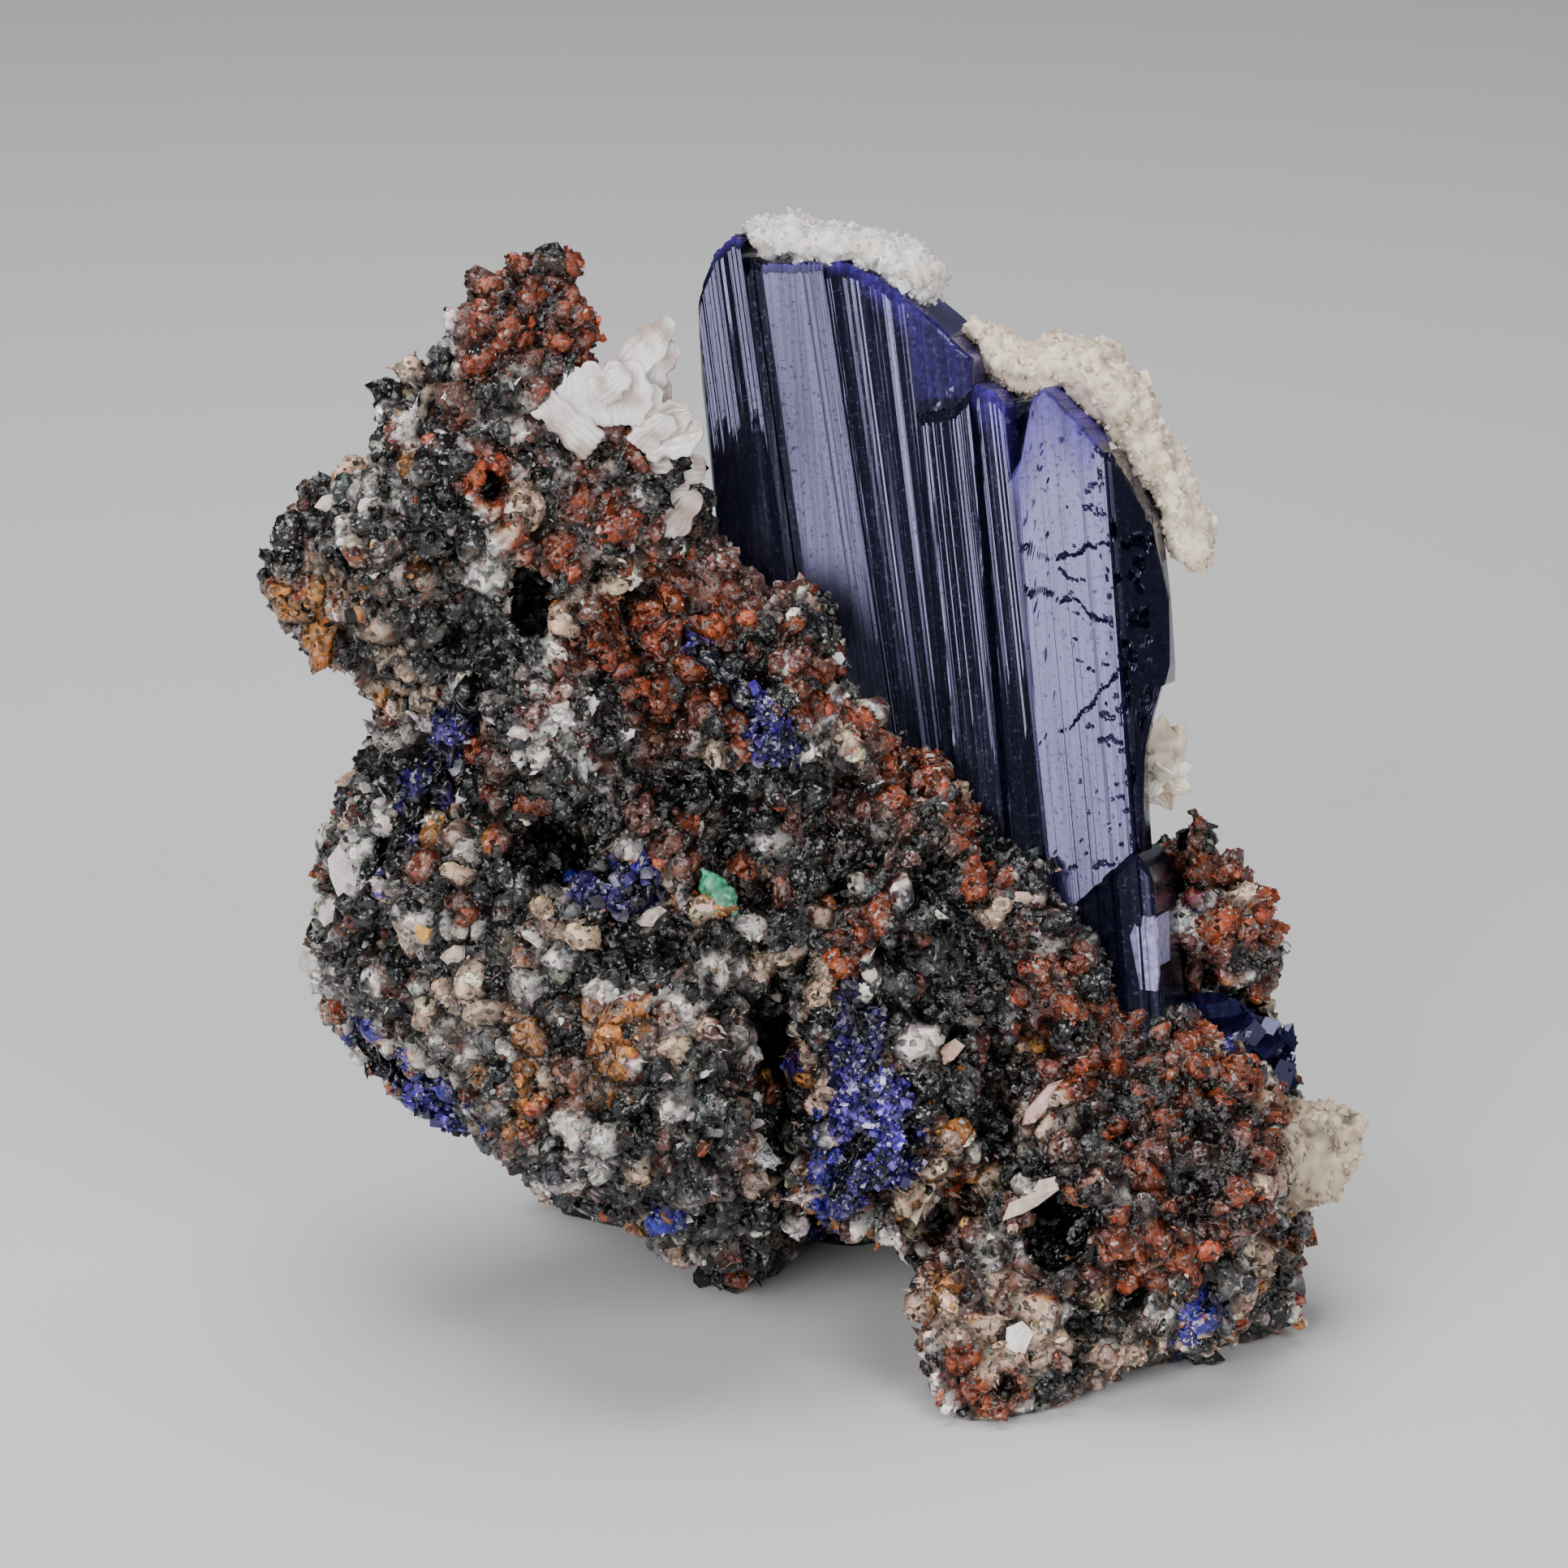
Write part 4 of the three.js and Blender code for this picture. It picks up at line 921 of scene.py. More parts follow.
# The azurite blades. Each blade has its outline in w and a; its left and right borders at a = 0 with the
# slope of each, in w per a; its front line and back line in t along w; its lamellae as runs of (share of
# the width, number, tilt, spread of tilt); and its grid across and up. Some have more: where the lamellae
# turn to the dim room, as a, its spread and the tilt below; a pitch, in t per a; a depth of chips; and
# whether it is cracked. Faces with a tilt near 0 or 0.5 mirror a softbox, others mirror the dim room.
BLADE_USUAL = {"dim": None, "pitch": 0.0, "chips": 0.0, "cracked": False}
BLADES = {
    "tall_left": {
        "outline": [(-12, -12), (-12.6, 5.5), (-13.1, 10.7), (-13.5, 18), (-13.1, 23.7), (-12.4, 25.5),
                    (-11.6, 27.2), (-10.1, 28.4), (-9, 27.6), (-5.5, -12)],
        "left": (-12.9, -0.045), "right": (-8.1, -0.056),
        "front": [(-13.5, 0.9), (-12.9, -0.3), (-9.2, -0.6), (-8.2, -0.6)],
        "back": [(-13.5, 6.5), (-11.2, 9.2), (-4.6, 9.4)],
        "runs": [(0.14, 4, 0.45, 0.1), (0.5, 16, 0.62, 0.05), (0.16, 5, 0.42, 0.14),
                 (0.2, 6, 0.6, 0.08)],
        "grid": (1.0, 0.7), "dim": (15.5, 1.2, 0.3),
    },
    "gap": {
        "outline": [(-9.6, -12), (-9.6, 26.9), (-7.5, 25.9), (-5.0, -12)],
        "left": (-8.15, -0.056), "right": (-6.7, -0.056),
        "front": [(-9, 0.3), (-6, 0.25)],
        "back": [(-9, 9.2), (-6, 9.4)],
        "runs": [(0.32, 2, 0.26, 0.02), (0.1, 1, 0.5, 0.0), (0.26, 2, 0.25, 0.02), (0.12, 1, 0.02, 0.0),
                 (0.2, 1, -0.3, 0.0)],
        "grid": (1.0, 0.7),
    },
    "broad": {
        "outline": [(-6.0, -14), (-9.0, 26.4), (-7.8, 26.2), (-4, 26), (-2.6, 26), (-1, -14)],
        "left": (-6.75, -0.056), "right": (-2.25, -0.068),
        "front": [(-9, -1.2), (-2, -0.95)],
        "back": [(-9, 9.6), (-2, 10.3)],
        "runs": [(0.03, 1, 0.3, 0.0), (0.6, 9, 0.11, 0.012), (0.37, 18, 0.13, 0.07)],
        "grid": (0.6, 0.6), "dim": (1.0, 0.35, 0.3),
    },
    "fine": {
        "outline": [(-2.5, -16), (-4.6, 25.9), (-2.9, 26), (-0.6, 24.8), (1.2, 23.3), (1.9, 16),
                    (1.9, -16)],
        "left": (-2.2, -0.068), "right": (1.8, -0.03),
        "front": [(-4.6, -0.7), (2, -0.3)],
        "back": [(-4.6, 10), (2, 9.6)],
        "runs": [(0.22, 9, 0.2, 0.13), (0.5, 22, 0.28, 0.12), (0.28, 12, 0.28, 0.16)],
        "grid": (1.0, 0.9), "pitch": 0.004,
    },
    "core": {
        "outline": [(1, -10), (1, 20.6), (4.6, 17.2), (6.6, 15.8), (8.6, 15.6), (10, 15.4), (11.5, 13),
                    (12.5, -10)],
        "left": (1.3, 0.0), "right": (12.2, 0.0),
        "front": [(1, 2.6), (12.2, 2.8)],
        "back": [(1, 8), (12.2, 7.6)],
        "runs": [(1, 16, 0.3, 0.1)],
        "grid": (0.6, 0.7), "chips": 0.6,
    },
    "violet_patch": {
        "outline": [(0.5, 12), (0.75, 23.6), (2.8, 21.7), (5.3, 18.9), (5.2, 17), (4.9, 12)],
        "left": (1.1, -0.02), "right": (5.3, 0.0),
        "front": [(0, 0.05), (5.4, 0.35)],
        "back": [(0, 9), (5.4, 8.6)],
        "runs": [(1, 9, 0.27, 0.04)],
        "grid": (0.3, 0.3), "pitch": 0.01, "chips": 0.15,
    },
    "middle": {
        "outline": [(2.2, -18), (1.2, 15.3), (1.9, 15.6), (4.1, 15.8), (5.6, 17.2), (7.0, 16.4),
                    (7.8, 14.6), (8.4, 13.2), (8.9, -20)],
        "left": (1.8, -0.03), "right": (7.85, -0.03),
        "front": [(1, -0.2), (2.2, -0.65), (5.2, -0.95), (5.6, -0.5), (8.4, -0.6)],
        "back": [(1, 9.6), (8.4, 9.6)],
        "runs": [(0.05, 2, 0.7, 0.03), (0.04, 2, 0.3, 0.02), (0.35, 26, 0.36, 0.16),
                 (0.56, 44, 0.31, 0.15)],
        "grid": (1.0, 0.8), "dim": (-3.5, 2.0, 0.3), "pitch": 0.012,
    },
    "bright_right": {
        "outline": [(7.4, -28), (7.0, -5), (7.1, 10.4), (8.4, 12.2), (9.4, 16), (10.3, 16.7),
                    (12.8, 13.8), (14.0, 12.1), (14.6, -30)],
        "left": (7.75, -0.03), "right": (14.0, 0.0),
        "front": [(7, -1.25), (8.2, -1.4), (13.7, -1.45)],
        "back": [(7, 8.5), (9, 9), (11.8, 8.4), (14.2, 0.3), (14.7, -0.9)],
        "runs": [(0.04, 1, 0.3, 0), (0.7, 12, 0.0, 0.014), (0.26, 9, 0.08, 0.09)],
        "grid": (0.145, 0.155), "pitch": 0.035, "cracked": True,
    },
    "dark_side": {
        "outline": [(13.5, -3.6), (13.3, 12.6), (14.4, 11.9), (16.2, 7.5), (16.8, 2), (16.6, -2.2),
                    (16.2, -3.6)],
        "left": (13.9, 0.0), "right": (16.9, 0.0),
        "front": [(13.8, -1.2), (14.4, -0.8), (16.9, 2.2)],
        "back": [(13.8, 8.6), (15.4, 7.2), (16.9, 2.5)],
        "runs": [(1, 7, -0.1, 0.12)],
        "grid": (0.12, 0.3), "chips": 1.7,
    },
    "dark_foot": {
        "outline": [(13.5, -30), (13.5, -3), (16.2, -3), (15.4, -5.6), (14.9, -7.6), (14.5, -12),
                    (14.3, -30)],
        "left": (13.9, 0.0), "right": (16.4, 0.0),
        "front": [(13.8, -1.1), (14.4, -0.7), (16.6, 1.9)],
        "back": [(13.8, 1.9), (14.4, 1.5), (14.9, 0.6), (16.6, 2.3)],
        "runs": [(1, 7, -0.1, 0.1)],
        "grid": (0.15, 0.35), "chips": 0.9,
    },
    "short_dark": {
        "outline": [(8.2, -29), (9.2, -17.9), (14.2, -13.9), (15.2, -15.2), (15.9, -18), (15.4, -29)],
        "left": (8.4, 0.0), "right": (15.4, 0.0),
        "front": [(8.2, 1.5), (9.0, -3.1), (13.1, -3.5), (15.6, -3.0)],
        "back": [(8.2, 5), (15.6, 3.2)],
        "runs": [(1, 11, -0.3, 0.06)],
        "grid": (0.5, 0.6),
    },
    "low_facet": {
        "outline": [(13.9, -23.0), (13.7, -21), (14.0, -20.5), (13.6, -19.4), (13.75, -18.2),
                    (15.6, -18.3), (15.3, -23.2)],
        "left": (13.6, 0.0), "right": (15.6, 0.0),
        "front": [(13, -3.75), (15.8, -3.6)],
        "back": [(13, 0), (15.6, 0)],
        "runs": [(1, 9, 0.02, 0.03)],
        "grid": (0.5, 0.6),
    },
}


def on_line(line, places):
    """Reads a broken line of (place, height) at the places."""
    return np.interp(places, [p[0] for p in line], [p[1] for p in line])


def span_inside(outline, start, slope):
    """The lowest and highest a at which each straight line w = start + slope * a is inside the outline,
    from the crossings with its edges."""
    corners = np.array(outline, float)
    after = np.roll(corners, -1, axis=0)
    side = corners[:, 0] - slope[:, None] * corners[:, 1] - start[:, None]
    side_after = after[:, 0] - slope[:, None] * after[:, 1] - start[:, None]
    crossed = side * side_after < 0
    share = side / np.where(crossed, side - side_after, 1)
    height = corners[:, 1] + share * (after[:, 1] - corners[:, 1])
    return np.where(crossed, height, np.inf).min(1), np.where(crossed, height, -np.inf).max(1)


def lamella_columns(runs, width, grid, random):
    """Places across a blade from 0 to 1, with each one's lamella, its place from the lamella's middle and
    the lamella's tilt. Within a run the widths are uneven, and columns stand closer than the grid."""
    widths, tilts = [], []
    for share, number, tilt, spread in runs:
        uneven = np.exp(random.normal(0, 0.6, number))
        widths.extend(share * uneven / uneven.sum())
        tilts.extend(tilt + random.normal(0, 1, number) * spread)
    edges = np.concatenate([[0], np.cumsum(widths)]) / sum(widths)
    columns = [
        np.linspace(start + 1e-4, end - 1e-4, 2 + int((end - start) * width / grid))
        for start, end in zip(edges[:-1], edges[1:])
    ]
    lamella = np.repeat(np.arange(len(widths)), [len(part) for part in columns])
    across = np.concatenate(columns)
    return across, lamella, across - (edges[:-1] + edges[1:])[lamella] / 2, np.array(tilts)


# Cracks of the bright blade: points in w and a, and depth.
CRACKS = (
    ([(7.9, 6.4), (8.8, 6.1), (9.7, 5.5), (10.6, 5.6), (11.6, 5.5), (12.6, 6.0), (13.9, 6.1)], 0.2),
    ([(7.9, 3.5), (8.8, 3.2), (9.6, 3.3), (10.2, 2.7), (11.0, 2.8), (11.9, 2.2), (12.4, 1.3),
      (13.9, 0.9)], 0.2),
    ([(10.4, 4.6), (11.4, 4.0), (12.1, 3.9)], 0.12),
    ([(9.6, -5.8), (10.6, -5.6), (11.2, -4.7), (12.2, -4.2), (12.8, -3.2), (13.9, -2.4)], 0.18),
    ([(11.8, -1.9), (12.6, -1.6), (13.9, -1.9)], 0.16),
    ([(12.2, -6.6), (13.0, -6.4), (13.9, -7.0)], 0.14),
    ([(12.4, 8.6), (13.2, 8.2), (13.9, 8.3)], 0.14),
    ([(11.2, -14.8), (12.2, -14.7), (13.4, -15.0)], 0.08),
)


def cracks(w, a):
    """Depth of the cracks that cross the bright blade: each follows a bent line of w and a points, moved
    up and down by two sizes of noise, as a narrow valley."""
    depth = np.zeros(w.shape)
    places = np.column_stack([w.ravel(), np.zeros(w.size), np.zeros(w.size)])
    for n, (line, deep) in enumerate(CRACKS):
        jag = 0.16 * smooth_noise(places, 0.5, 71 + n) + 0.12 * smooth_noise(places, 0.22, 91 + n)
        away = np.abs(a - on_line(line, w) - jag.reshape(w.shape))
        inside = (w > line[0][0]) & (w < line[-1][0])
        width = np.clip(0.1 + 0.12 * smooth_noise(places, 0.6, 111 + n), 0.02, 0.2).reshape(w.shape)
        depth = np.maximum(depth, deep * inside * np.clip(1.6 * (1 - away / width), 0, 1))
    places = np.column_stack([w.ravel(), 0.8 * a.ravel(), np.zeros(w.size)])
    specks = (smooth_noise(places, 0.35, 131) + 0.5 * smooth_noise(places, 0.17, 132)).reshape(w.shape)
    near = np.clip((w - 11.6) / 2.2, 0, 1) * 0.4 + np.clip((a - 5) / 6, 0, 1) * 0.12
    return depth + 0.5 * np.clip(specks - 1.08 + near, 0, 0.25)


def blade_mesh(blade, random):
    """A closed blade. Its columns are straight lines w = start + slope * a between the left and right
    borders, cut to the outline; its rows are even steps up each line. t is the front line at w, plus
    each lamella's tilt and step, the pitch, the cracks and the chips."""
    blade = BLADE_USUAL | blade
    (left, left_slope), (right, right_slope) = blade["left"], blade["right"]
    step_across, step_up = blade["grid"]
    across, lamella, offset, tilts = lamella_columns(blade["runs"], right - left, step_across, random)
    steps = random.uniform(-0.03, 0.03, len(tilts))
    lean = random.normal(0, 0.003, len(tilts))
    ragged = random.uniform(-0.16, 0.05, len(tilts))
    jump = random.normal(0, 1, len(tilts))
    start = left + (right - left) * across
    slope = left_slope + (right_slope - left_slope) * across
    low, high = span_inside(blade["outline"], start, slope)
    good = np.isfinite(low) & np.isfinite(high)
    lamella, offset, start, slope, low, high = (
        values[good] for values in (lamella, offset, start, slope, low, high)
    )
    high = high + ragged[lamella]
    rows = int((high - low).max() / step_up)
    a = low + (high - low) * np.linspace(0, 1, rows)[:, None]
    w = start + slope * a
    turn = tilts[lamella] + 0 * a
    if blade["dim"]:
        end, uneven, dim_tilt = blade["dim"]
        below = np.clip((end + uneven * jump[lamella] - a) / 0.5, 0, 1)
        turn = turn + below * (dim_tilt - turn)
    front = on_line(blade["front"], w) + steps[lamella] + turn * offset * (right - left)
    front += (blade["pitch"] + lean[lamella]) * (a - 12)
    if blade["cracked"]:
        front += cracks(w, a)
    places = np.column_stack([w.ravel(), a.ravel() * 0.7, np.zeros(w.size)])
    chips = smooth_noise(places, 0.7, 33) + 0.6 * smooth_noise(places, 0.33, 34)
    front += blade["chips"] * np.clip(chips.reshape(w.shape) - 0.35, 0, 0.6)
    edge = np.clip((high - a) / 0.35, 0, 1)
    front += 0.3 * (1 - edge) ** 2
    back = np.broadcast_to(on_line(blade["back"], w), w.shape)
    return slab(np.stack([w, front, a], 2), np.stack([w, back, a], 2))


# Azurite's colours: the body's blue-black, thin edges, the low facet's lavender, a painted highlight on a
# face that also mirrors a softbox, and the dark crystals on the right.
AZURITE_BODY = np.array([0.003, 0.0032, 0.009])
AZURITE_THIN = np.array([0.05, 0.028, 0.215])
LOW_FACET_HIGHLIGHT = np.array([0.22, 0.2, 0.36])
DARK_CRYSTAL = (0.005, 0.005, 0.025, 0.12)
CLEAN_ROUGHNESS = 0.12
# Roughness of the duller blades' clean faces.
ROUGHNESS = {"broad": 0.25, "violet_patch": 0.2, "bright_right": 0.15, "low_facet": 0.35}
# The crystals' top edge and how far down from it they are thin: lines of w and a, and of w and mm.
TOP_EDGE = [
    (-13.5, 25), (-10.1, 28.4), (-8, 26.3), (-2.9, 26), (2.8, 21.7), (5.3, 18.9), (5.4, 17.2), (7, 16.4),
    (8.3, 13), (9.4, 16), (10.3, 16.7), (12.8, 13.8), (14.4, 11.9),
]
THIN_REACH = [
    (-13, 0.3), (-3, 0.6), (-1, 1.6), (1.2, 2.6), (2.5, 1.5), (5, 2.0), (9, 8), (13.0, 5), (13.6, 0.5),
]


def crystal_tints(name, local):
    """Azurite colours: blue-black, a lavender painted highlight on the low facet, more violet on the thin
    patch over the notch and near the top edges.
    The alpha holds the roughness: higher on the broad blade, the patch and the bright blade's top."""
    w, _, a = local.T
    thin = np.clip(1 - (on_line(TOP_EDGE, w) - a) / on_line(THIN_REACH, w), 0, 1)
    rough = np.full(len(w), ROUGHNESS.get(name, CLEAN_ROUGHNESS))
    if name == "violet_patch":
        thin = np.maximum(0.6 * thin, 0.32 * (a > 16.4))
    if name == "bright_right":
        thin = np.maximum(thin, 0.12)
        rough += 0.33 * thin
    if name in ("core", "dark_side", "dark_foot", "short_dark"):
        thin = 0 * thin
    # The low facet's lavender base is a painted highlight.
    base = LOW_FACET_HIGHLIGHT if name == "low_facet" else AZURITE_BODY
    thin = thin * (0.85 + 0.5 * smooth_noise(local * (2.5, 1, 0.6), 1.6, 44))
    return np.column_stack([base + (AZURITE_THIN - base) * np.clip(thin, 0, 1.2)[:, None], rough])


# Calcite blades. Each has its root and tip in the photograph's pixels, their depths along Y, its greatest
# half width, half thickness and curl in millimetres, and a turn about its own length in degrees.
PEAK_PETALS = (
    ((712, 520), (703, 450), -6.6, -7.0, 1.25, 0.5, 0.4, 12),
    ((735, 520), (729, 444), -6.4, -7.2, 1.2, 0.5, 0.2, -14),
    ((757, 520), (754, 443), -6.2, -7.0, 1.2, 0.5, 0.3, 16),
    ((778, 520), (779, 448), -6.0, -6.8, 1.3, 0.5, -0.3, -12),
    ((795, 526), (800, 470), -5.8, -6.2, 1.0, 0.45, 0.3, 22),
    ((758, 466), (838, 401), -5.6, -5.2, 1.15, 0.35, 1.3, -15),
    ((795, 476), (822, 412), -5.2, -5.0, 1.2, 0.35, 0.9, 14),
    ((814, 515), (806, 436), -4.8, -5.0, 0.8, 0.35, 0.3, 30),
    ((728, 548), (658, 487), -7.2, -8.6, 1.15, 0.8, -0.4, 5),
    ((796, 526), (852, 503), -5.8, -6.0, 1.1, 0.45, 0.6, 16),
    ((798, 548), (870, 536), -5.6, -6.2, 1.4, 0.5, 0.7, -18),
    ((800, 572), (868, 580), -5.4, -6.0, 1.3, 0.5, -0.5, 18),
    ((798, 596), (850, 604), -5.2, -5.6, 1.1, 0.5, 0.4, -14),
    ((786, 548), (828, 508), -6.2, -6.8, 1.0, 0.4, 0.5, 25),
    ((806, 606), (836, 566), -5.0, -5.6, 1.0, 0.4, 0.3, 10),
    ((802, 668), (864, 604), -4.8, -5.6, 1.15, 0.75, 0.5, 5),
    ((800, 640), (824, 674), -4.8, -5.4, 0.9, 0.5, 0.2, 14),
    ((735, 486), (772, 458), -7.2, -7.6, 1.1, 0.4, 0.2, 30),
)
ROSETTE_PETALS = (
    ((1422, 955), (1430, 874), 3.4, 2.0, 1.45, 0.28, 0.5, 14),
    ((1424, 955), (1456, 894), 3.4, 2.2, 1.3, 0.28, -0.5, -20),
    ((1426, 950), (1470, 936), 3.6, 2.8, 1.1, 0.28, 0.5, 25),
    ((1426, 955), (1466, 978), 3.6, 2.8, 1.05, 0.3, 0.4, -16),
    ((1423, 958), (1442, 998), 3.4, 2.4, 1.0, 0.3, -0.4, 12),
    ((1420, 955), (1396, 910), 3.4, 2.6, 1.0, 0.28, 0.4, -25),
    ((1424, 948), (1440, 912), 2.6, 1.2, 0.9, 0.24, 0.4, 10),
    ((1424, 958), (1414, 986), 3.0, 2.0, 0.9, 0.3, 0.3, 20),
    ((1430, 945), (1410, 888), 4.0, 3.4, 1.0, 0.25, 0.3, -10),
    ((1424, 952), (1450, 948), 2.6, 1.0, 0.8, 0.24, 0.4, 30),
    ((1428, 955), (1386, 955), 3.2, 3.9, 1.3, 0.7, 0.0, 0),
)


def petal_mesh(petal, blunt, random):
    """A curved blade from root to tip, as a slab: its half width follows a sine to the power blunt, its
    thickness fades from its middle to its edge, and it curls with the square of the way along it."""
    root_pixel, tip_pixel, root_y, tip_y, half_width, half_thick, curl, turn = petal
    root, tip = photo_place(root_pixel, root_y), photo_place(tip_pixel, tip_y)
    along = tip - root
    side = np.cross(TO_CAMERA, along)
    side /= np.linalg.norm(side)
    side = np.array(Matrix.Rotation(np.radians(turn), 3, Vector(along).normalized())) @ side
    normal = np.cross(along, side) / np.linalg.norm(along)
    u, v = np.meshgrid(np.linspace(-1, 1, 21), np.linspace(0, 1, 29))
    phase = random.uniform(0, 9)
    wobble = 1 + 0.14 * np.sin(8 * v + phase) + 0.09 * np.sin(21 * v + 2 * phase)
    width = half_width * (0.06 + 0.94 * np.sin(np.pi * (0.22 + 0.775 * v)) ** blunt) * wobble
    middle = root + v[..., None] * along + (u * width)[..., None] * side
    middle = middle + (curl * (v**2 + 0.35 * u**2 * np.sign(curl)))[..., None] * normal
    ribs = 0.12 * half_thick * np.sin(5 * np.pi * u + phase)
    thick = half_thick * np.sqrt(np.clip(1 - 0.97 * u**4, 0, 1)) * (1 - 0.75 * v**3) + ribs
    away = 0.14 * half_thick * layered_noise(middle.reshape(-1, 3), 1.1, 3, SEED + 60).reshape(u.shape)
    middle = middle + away[..., None] * normal
    return slab(middle - thick[..., None] * normal, middle + thick[..., None] * normal)


# Crusts, seams and the small crystals on them

def crusted(node, voxel, spans, seed):
    """A CAD node's skin with rounded relief: for each span and height, the dome of the nearest cell."""
    points, faces = fine_shell(node, voxel)
    points = relaxed(points, faces, 3)
    normals = point_normals(points, faces)
    height = np.zeros(len(points))
    for n, (span, rise) in enumerate(spans):
        nearest, _, label = cell_noise(points, span, seed + 50 * n)
        height += rise * ((0.5 + 0.5 * label) * (1 - 1.3 * nearest**2) - 0.27)
    points = points + normals * height[:, None]
    return points, faces, height


# The domes of a calcite crust: spans and heights in mm.
CRUST_DOMES = ((2.2, 0.7), (1.1, 0.55), (0.5, 0.16))
# Each crust: its colour, the number of its small crystals, and how dark the painted shade in its gaps is,
# from 0 to 1.
CRUSTS = {
    "calcite_top_crust": ((0.82, 0.79, 0.77), 700, 0.55),
    "calcite_side_crust": ((0.8, 0.68, 0.54), 1100, 0.5),
    "calcite_knob": ((0.62, 0.5, 0.37), 500, 0.12),
}


def small_crystals(points, faces, count, size, spread, random):
    """Blocks scattered on a skin, their sizes spread about the usual one."""
    places, normals = scattered(points, faces, count, random)
    sizes = size * np.exp(random.normal(0, 0.4, count))
    places = places + normals * (sizes * 0.3)[:, None] + random.normal(0, spread, places.shape)
    return grain_mesh(places, sizes, "block", random)


CRYSTAL_POINTS = len(GRAIN_SHAPES["block"][0])
SINK = 2.4  # how far a seam goes under the rock where it breaks off, times its noise, mm
MALACHITE_LOW, MALACHITE_RISE = np.array([0.03, 0.24, 0.12]), np.array([0.2, 0.5, 0.36])

# Each seam: how much of it stays at the surface, its brightness, the number and size of its crystals, and
# its brightest spot: middle and radius in the photograph's pixels.
DRUSES = {
    "azurite_front_druse": (-0.2, 1.0, 1700, 0.19, (1088, 1376, 62)),
    "azurite_ridge_vein": (-0.25, 0.7, 420, 0.17, (900, 840, 90)),
    "azurite_left_vein": (-0.42, 0.55, 300, 0.17, (560, 905, 70)),
    "azurite_lower_vein": (-0.28, 0.8, 420, 0.19, (530, 1350, 70)),
    "azurite_pocket_druse": (-0.15, 0.35, 420, 0.2, (730, 1080, 60)),
}
# Blues of the seams, darkest first; the palest, given only to some of the small crystals, is a painted
# highlight.
BLUES = np.array([
    (0.004, 0.003, 0.03), (0.02, 0.009, 0.15), (0.066, 0.03, 0.36), (0.18, 0.115, 0.56),
    (0.62, 0.57, 0.8),
])
BLUE_SHARES = (0.33, 0.28, 0.18, 0.12, 0.09)


def glow(points, spot):
    """Brightness at each point: over one at the spot, and a third of it far away, by a bell curve."""
    across, down, radius = spot
    away = ((photo_pixels(points) - (across, down)) ** 2).sum(1) / radius**2
    return (0.36 + 0.8 * np.exp(-away))[:, None]


def ragged_skin(node, voxel, hold, seed):
    """A seam's skin with crystals' relief, sunk below the rock where a noise is above hold, so that its
    outline breaks up."""
    points, faces, height = crusted(node, voxel, ((1.1, 0.45), (0.5, 0.3)), seed)
    sink = np.clip(layered_noise(points, 1.9, 2, seed + 7) - hold, 0, 0.6)
    normals = point_normals(points, faces)
    return points - normals * (SINK * sink)[:, None], faces, height - SINK * sink


# Dark azurite crystals to the right of the blades: middle, half sizes and turns about X, Y and Z.
CLUSTER_CRYSTALS = (
    ((26.9, -0.6, 20.8), (1.7, 1.2, 1.5), (20, 10, 30)),
    ((28.9, 0, 20.0), (1.6, 1.4, 1.2), (-15, 25, 10)),
    ((30.2, -1.6, 18.4), (1.5, 1.1, 1.5), (30, -10, 50)),
    ((28.0, -2.8, 19.3), (1.6, 1.2, 1.2), (10, 35, -20)),
    ((31.1, 0.2, 16.9), (1.3, 1.3, 1.4), (-25, 15, 35)),
    ((27.2, -2.2, 21.4), (1.0, 0.7, 1.3), (40, 0, 15)),
    ((29.3, -2.2, 20.4), (0.9, 0.8, 1.1), (5, 50, 25)),
    ((30.9, -1.4, 20.0), (0.8, 0.7, 1.0), (15, -30, 60)),
    ((26.0, -2.4, 19.4), (0.9, 0.8, 0.9), (-20, 20, 5)),
    ((29.6, -3.2, 18.0), (1.0, 0.7, 0.8), (35, 15, 70)),
    ((31.6, -1.6, 17.4), (0.9, 0.8, 1.0), (0, 25, 20)),
    ((28.4, -1.4, 21.4), (0.8, 0.8, 0.9), (25, 25, 45)),
    ((25.4, -1.2, 21.2), (0.9, 0.7, 0.8), (10, -35, 30)),
    ((31.9, -0.4, 18.8), (0.7, 0.7, 0.9), (30, 30, 0)),
)
CLUSTER_SMALL = 90


def cluster_mesh(random):
    """The dark crystals: a tapered block for each row of the table, and small ones between them."""
    corners, faces = GRAIN_SHAPES["block"]
    taper = np.where(corners[:, 2:] > 0, (0.75, 0.75, 1.0), (1.0, 1.0, 1.0))
    parts = []
    for place, halves, turns in CLUSTER_CRYSTALS:
        turn = np.array(Euler(np.radians(turns)).to_matrix())
        parts.append((np.array(place) + (corners / BLOCK_HALF * taper * halves) @ turn.T, faces))
    middles = np.array([row[0] for row in CLUSTER_CRYSTALS])
    spots = middles[random.integers(0, len(middles), CLUSTER_SMALL)]
    spots = spots + np.clip(random.normal(0, 0.6, spots.shape), -0.7, 0.7)
    parts.append(grain_mesh(spots, random.uniform(0.25, 0.55, CLUSTER_SMALL), "block", random))
    return joined(parts)


# Stage

# Metres: the floor's side, the place and side of each softbox, with the setting that holds its power, and
# the height at which they aim.
FLOOR_SIDE = 3.0
SOFTBOXES = (
    ("key_softbox", (-0.2, -0.41, 0.225), 0.25, "key_power"),
    ("right_softbox", (0.27, -0.4, 0.315), 0.25, "fill_power"),
    ("top_softbox", (-0.05, 0.05, 0.5), 0.35, "top_power"),
)
AIM_HEIGHT = 0.04
SKY_COLOUR = (0.75, 0.78, 0.85)


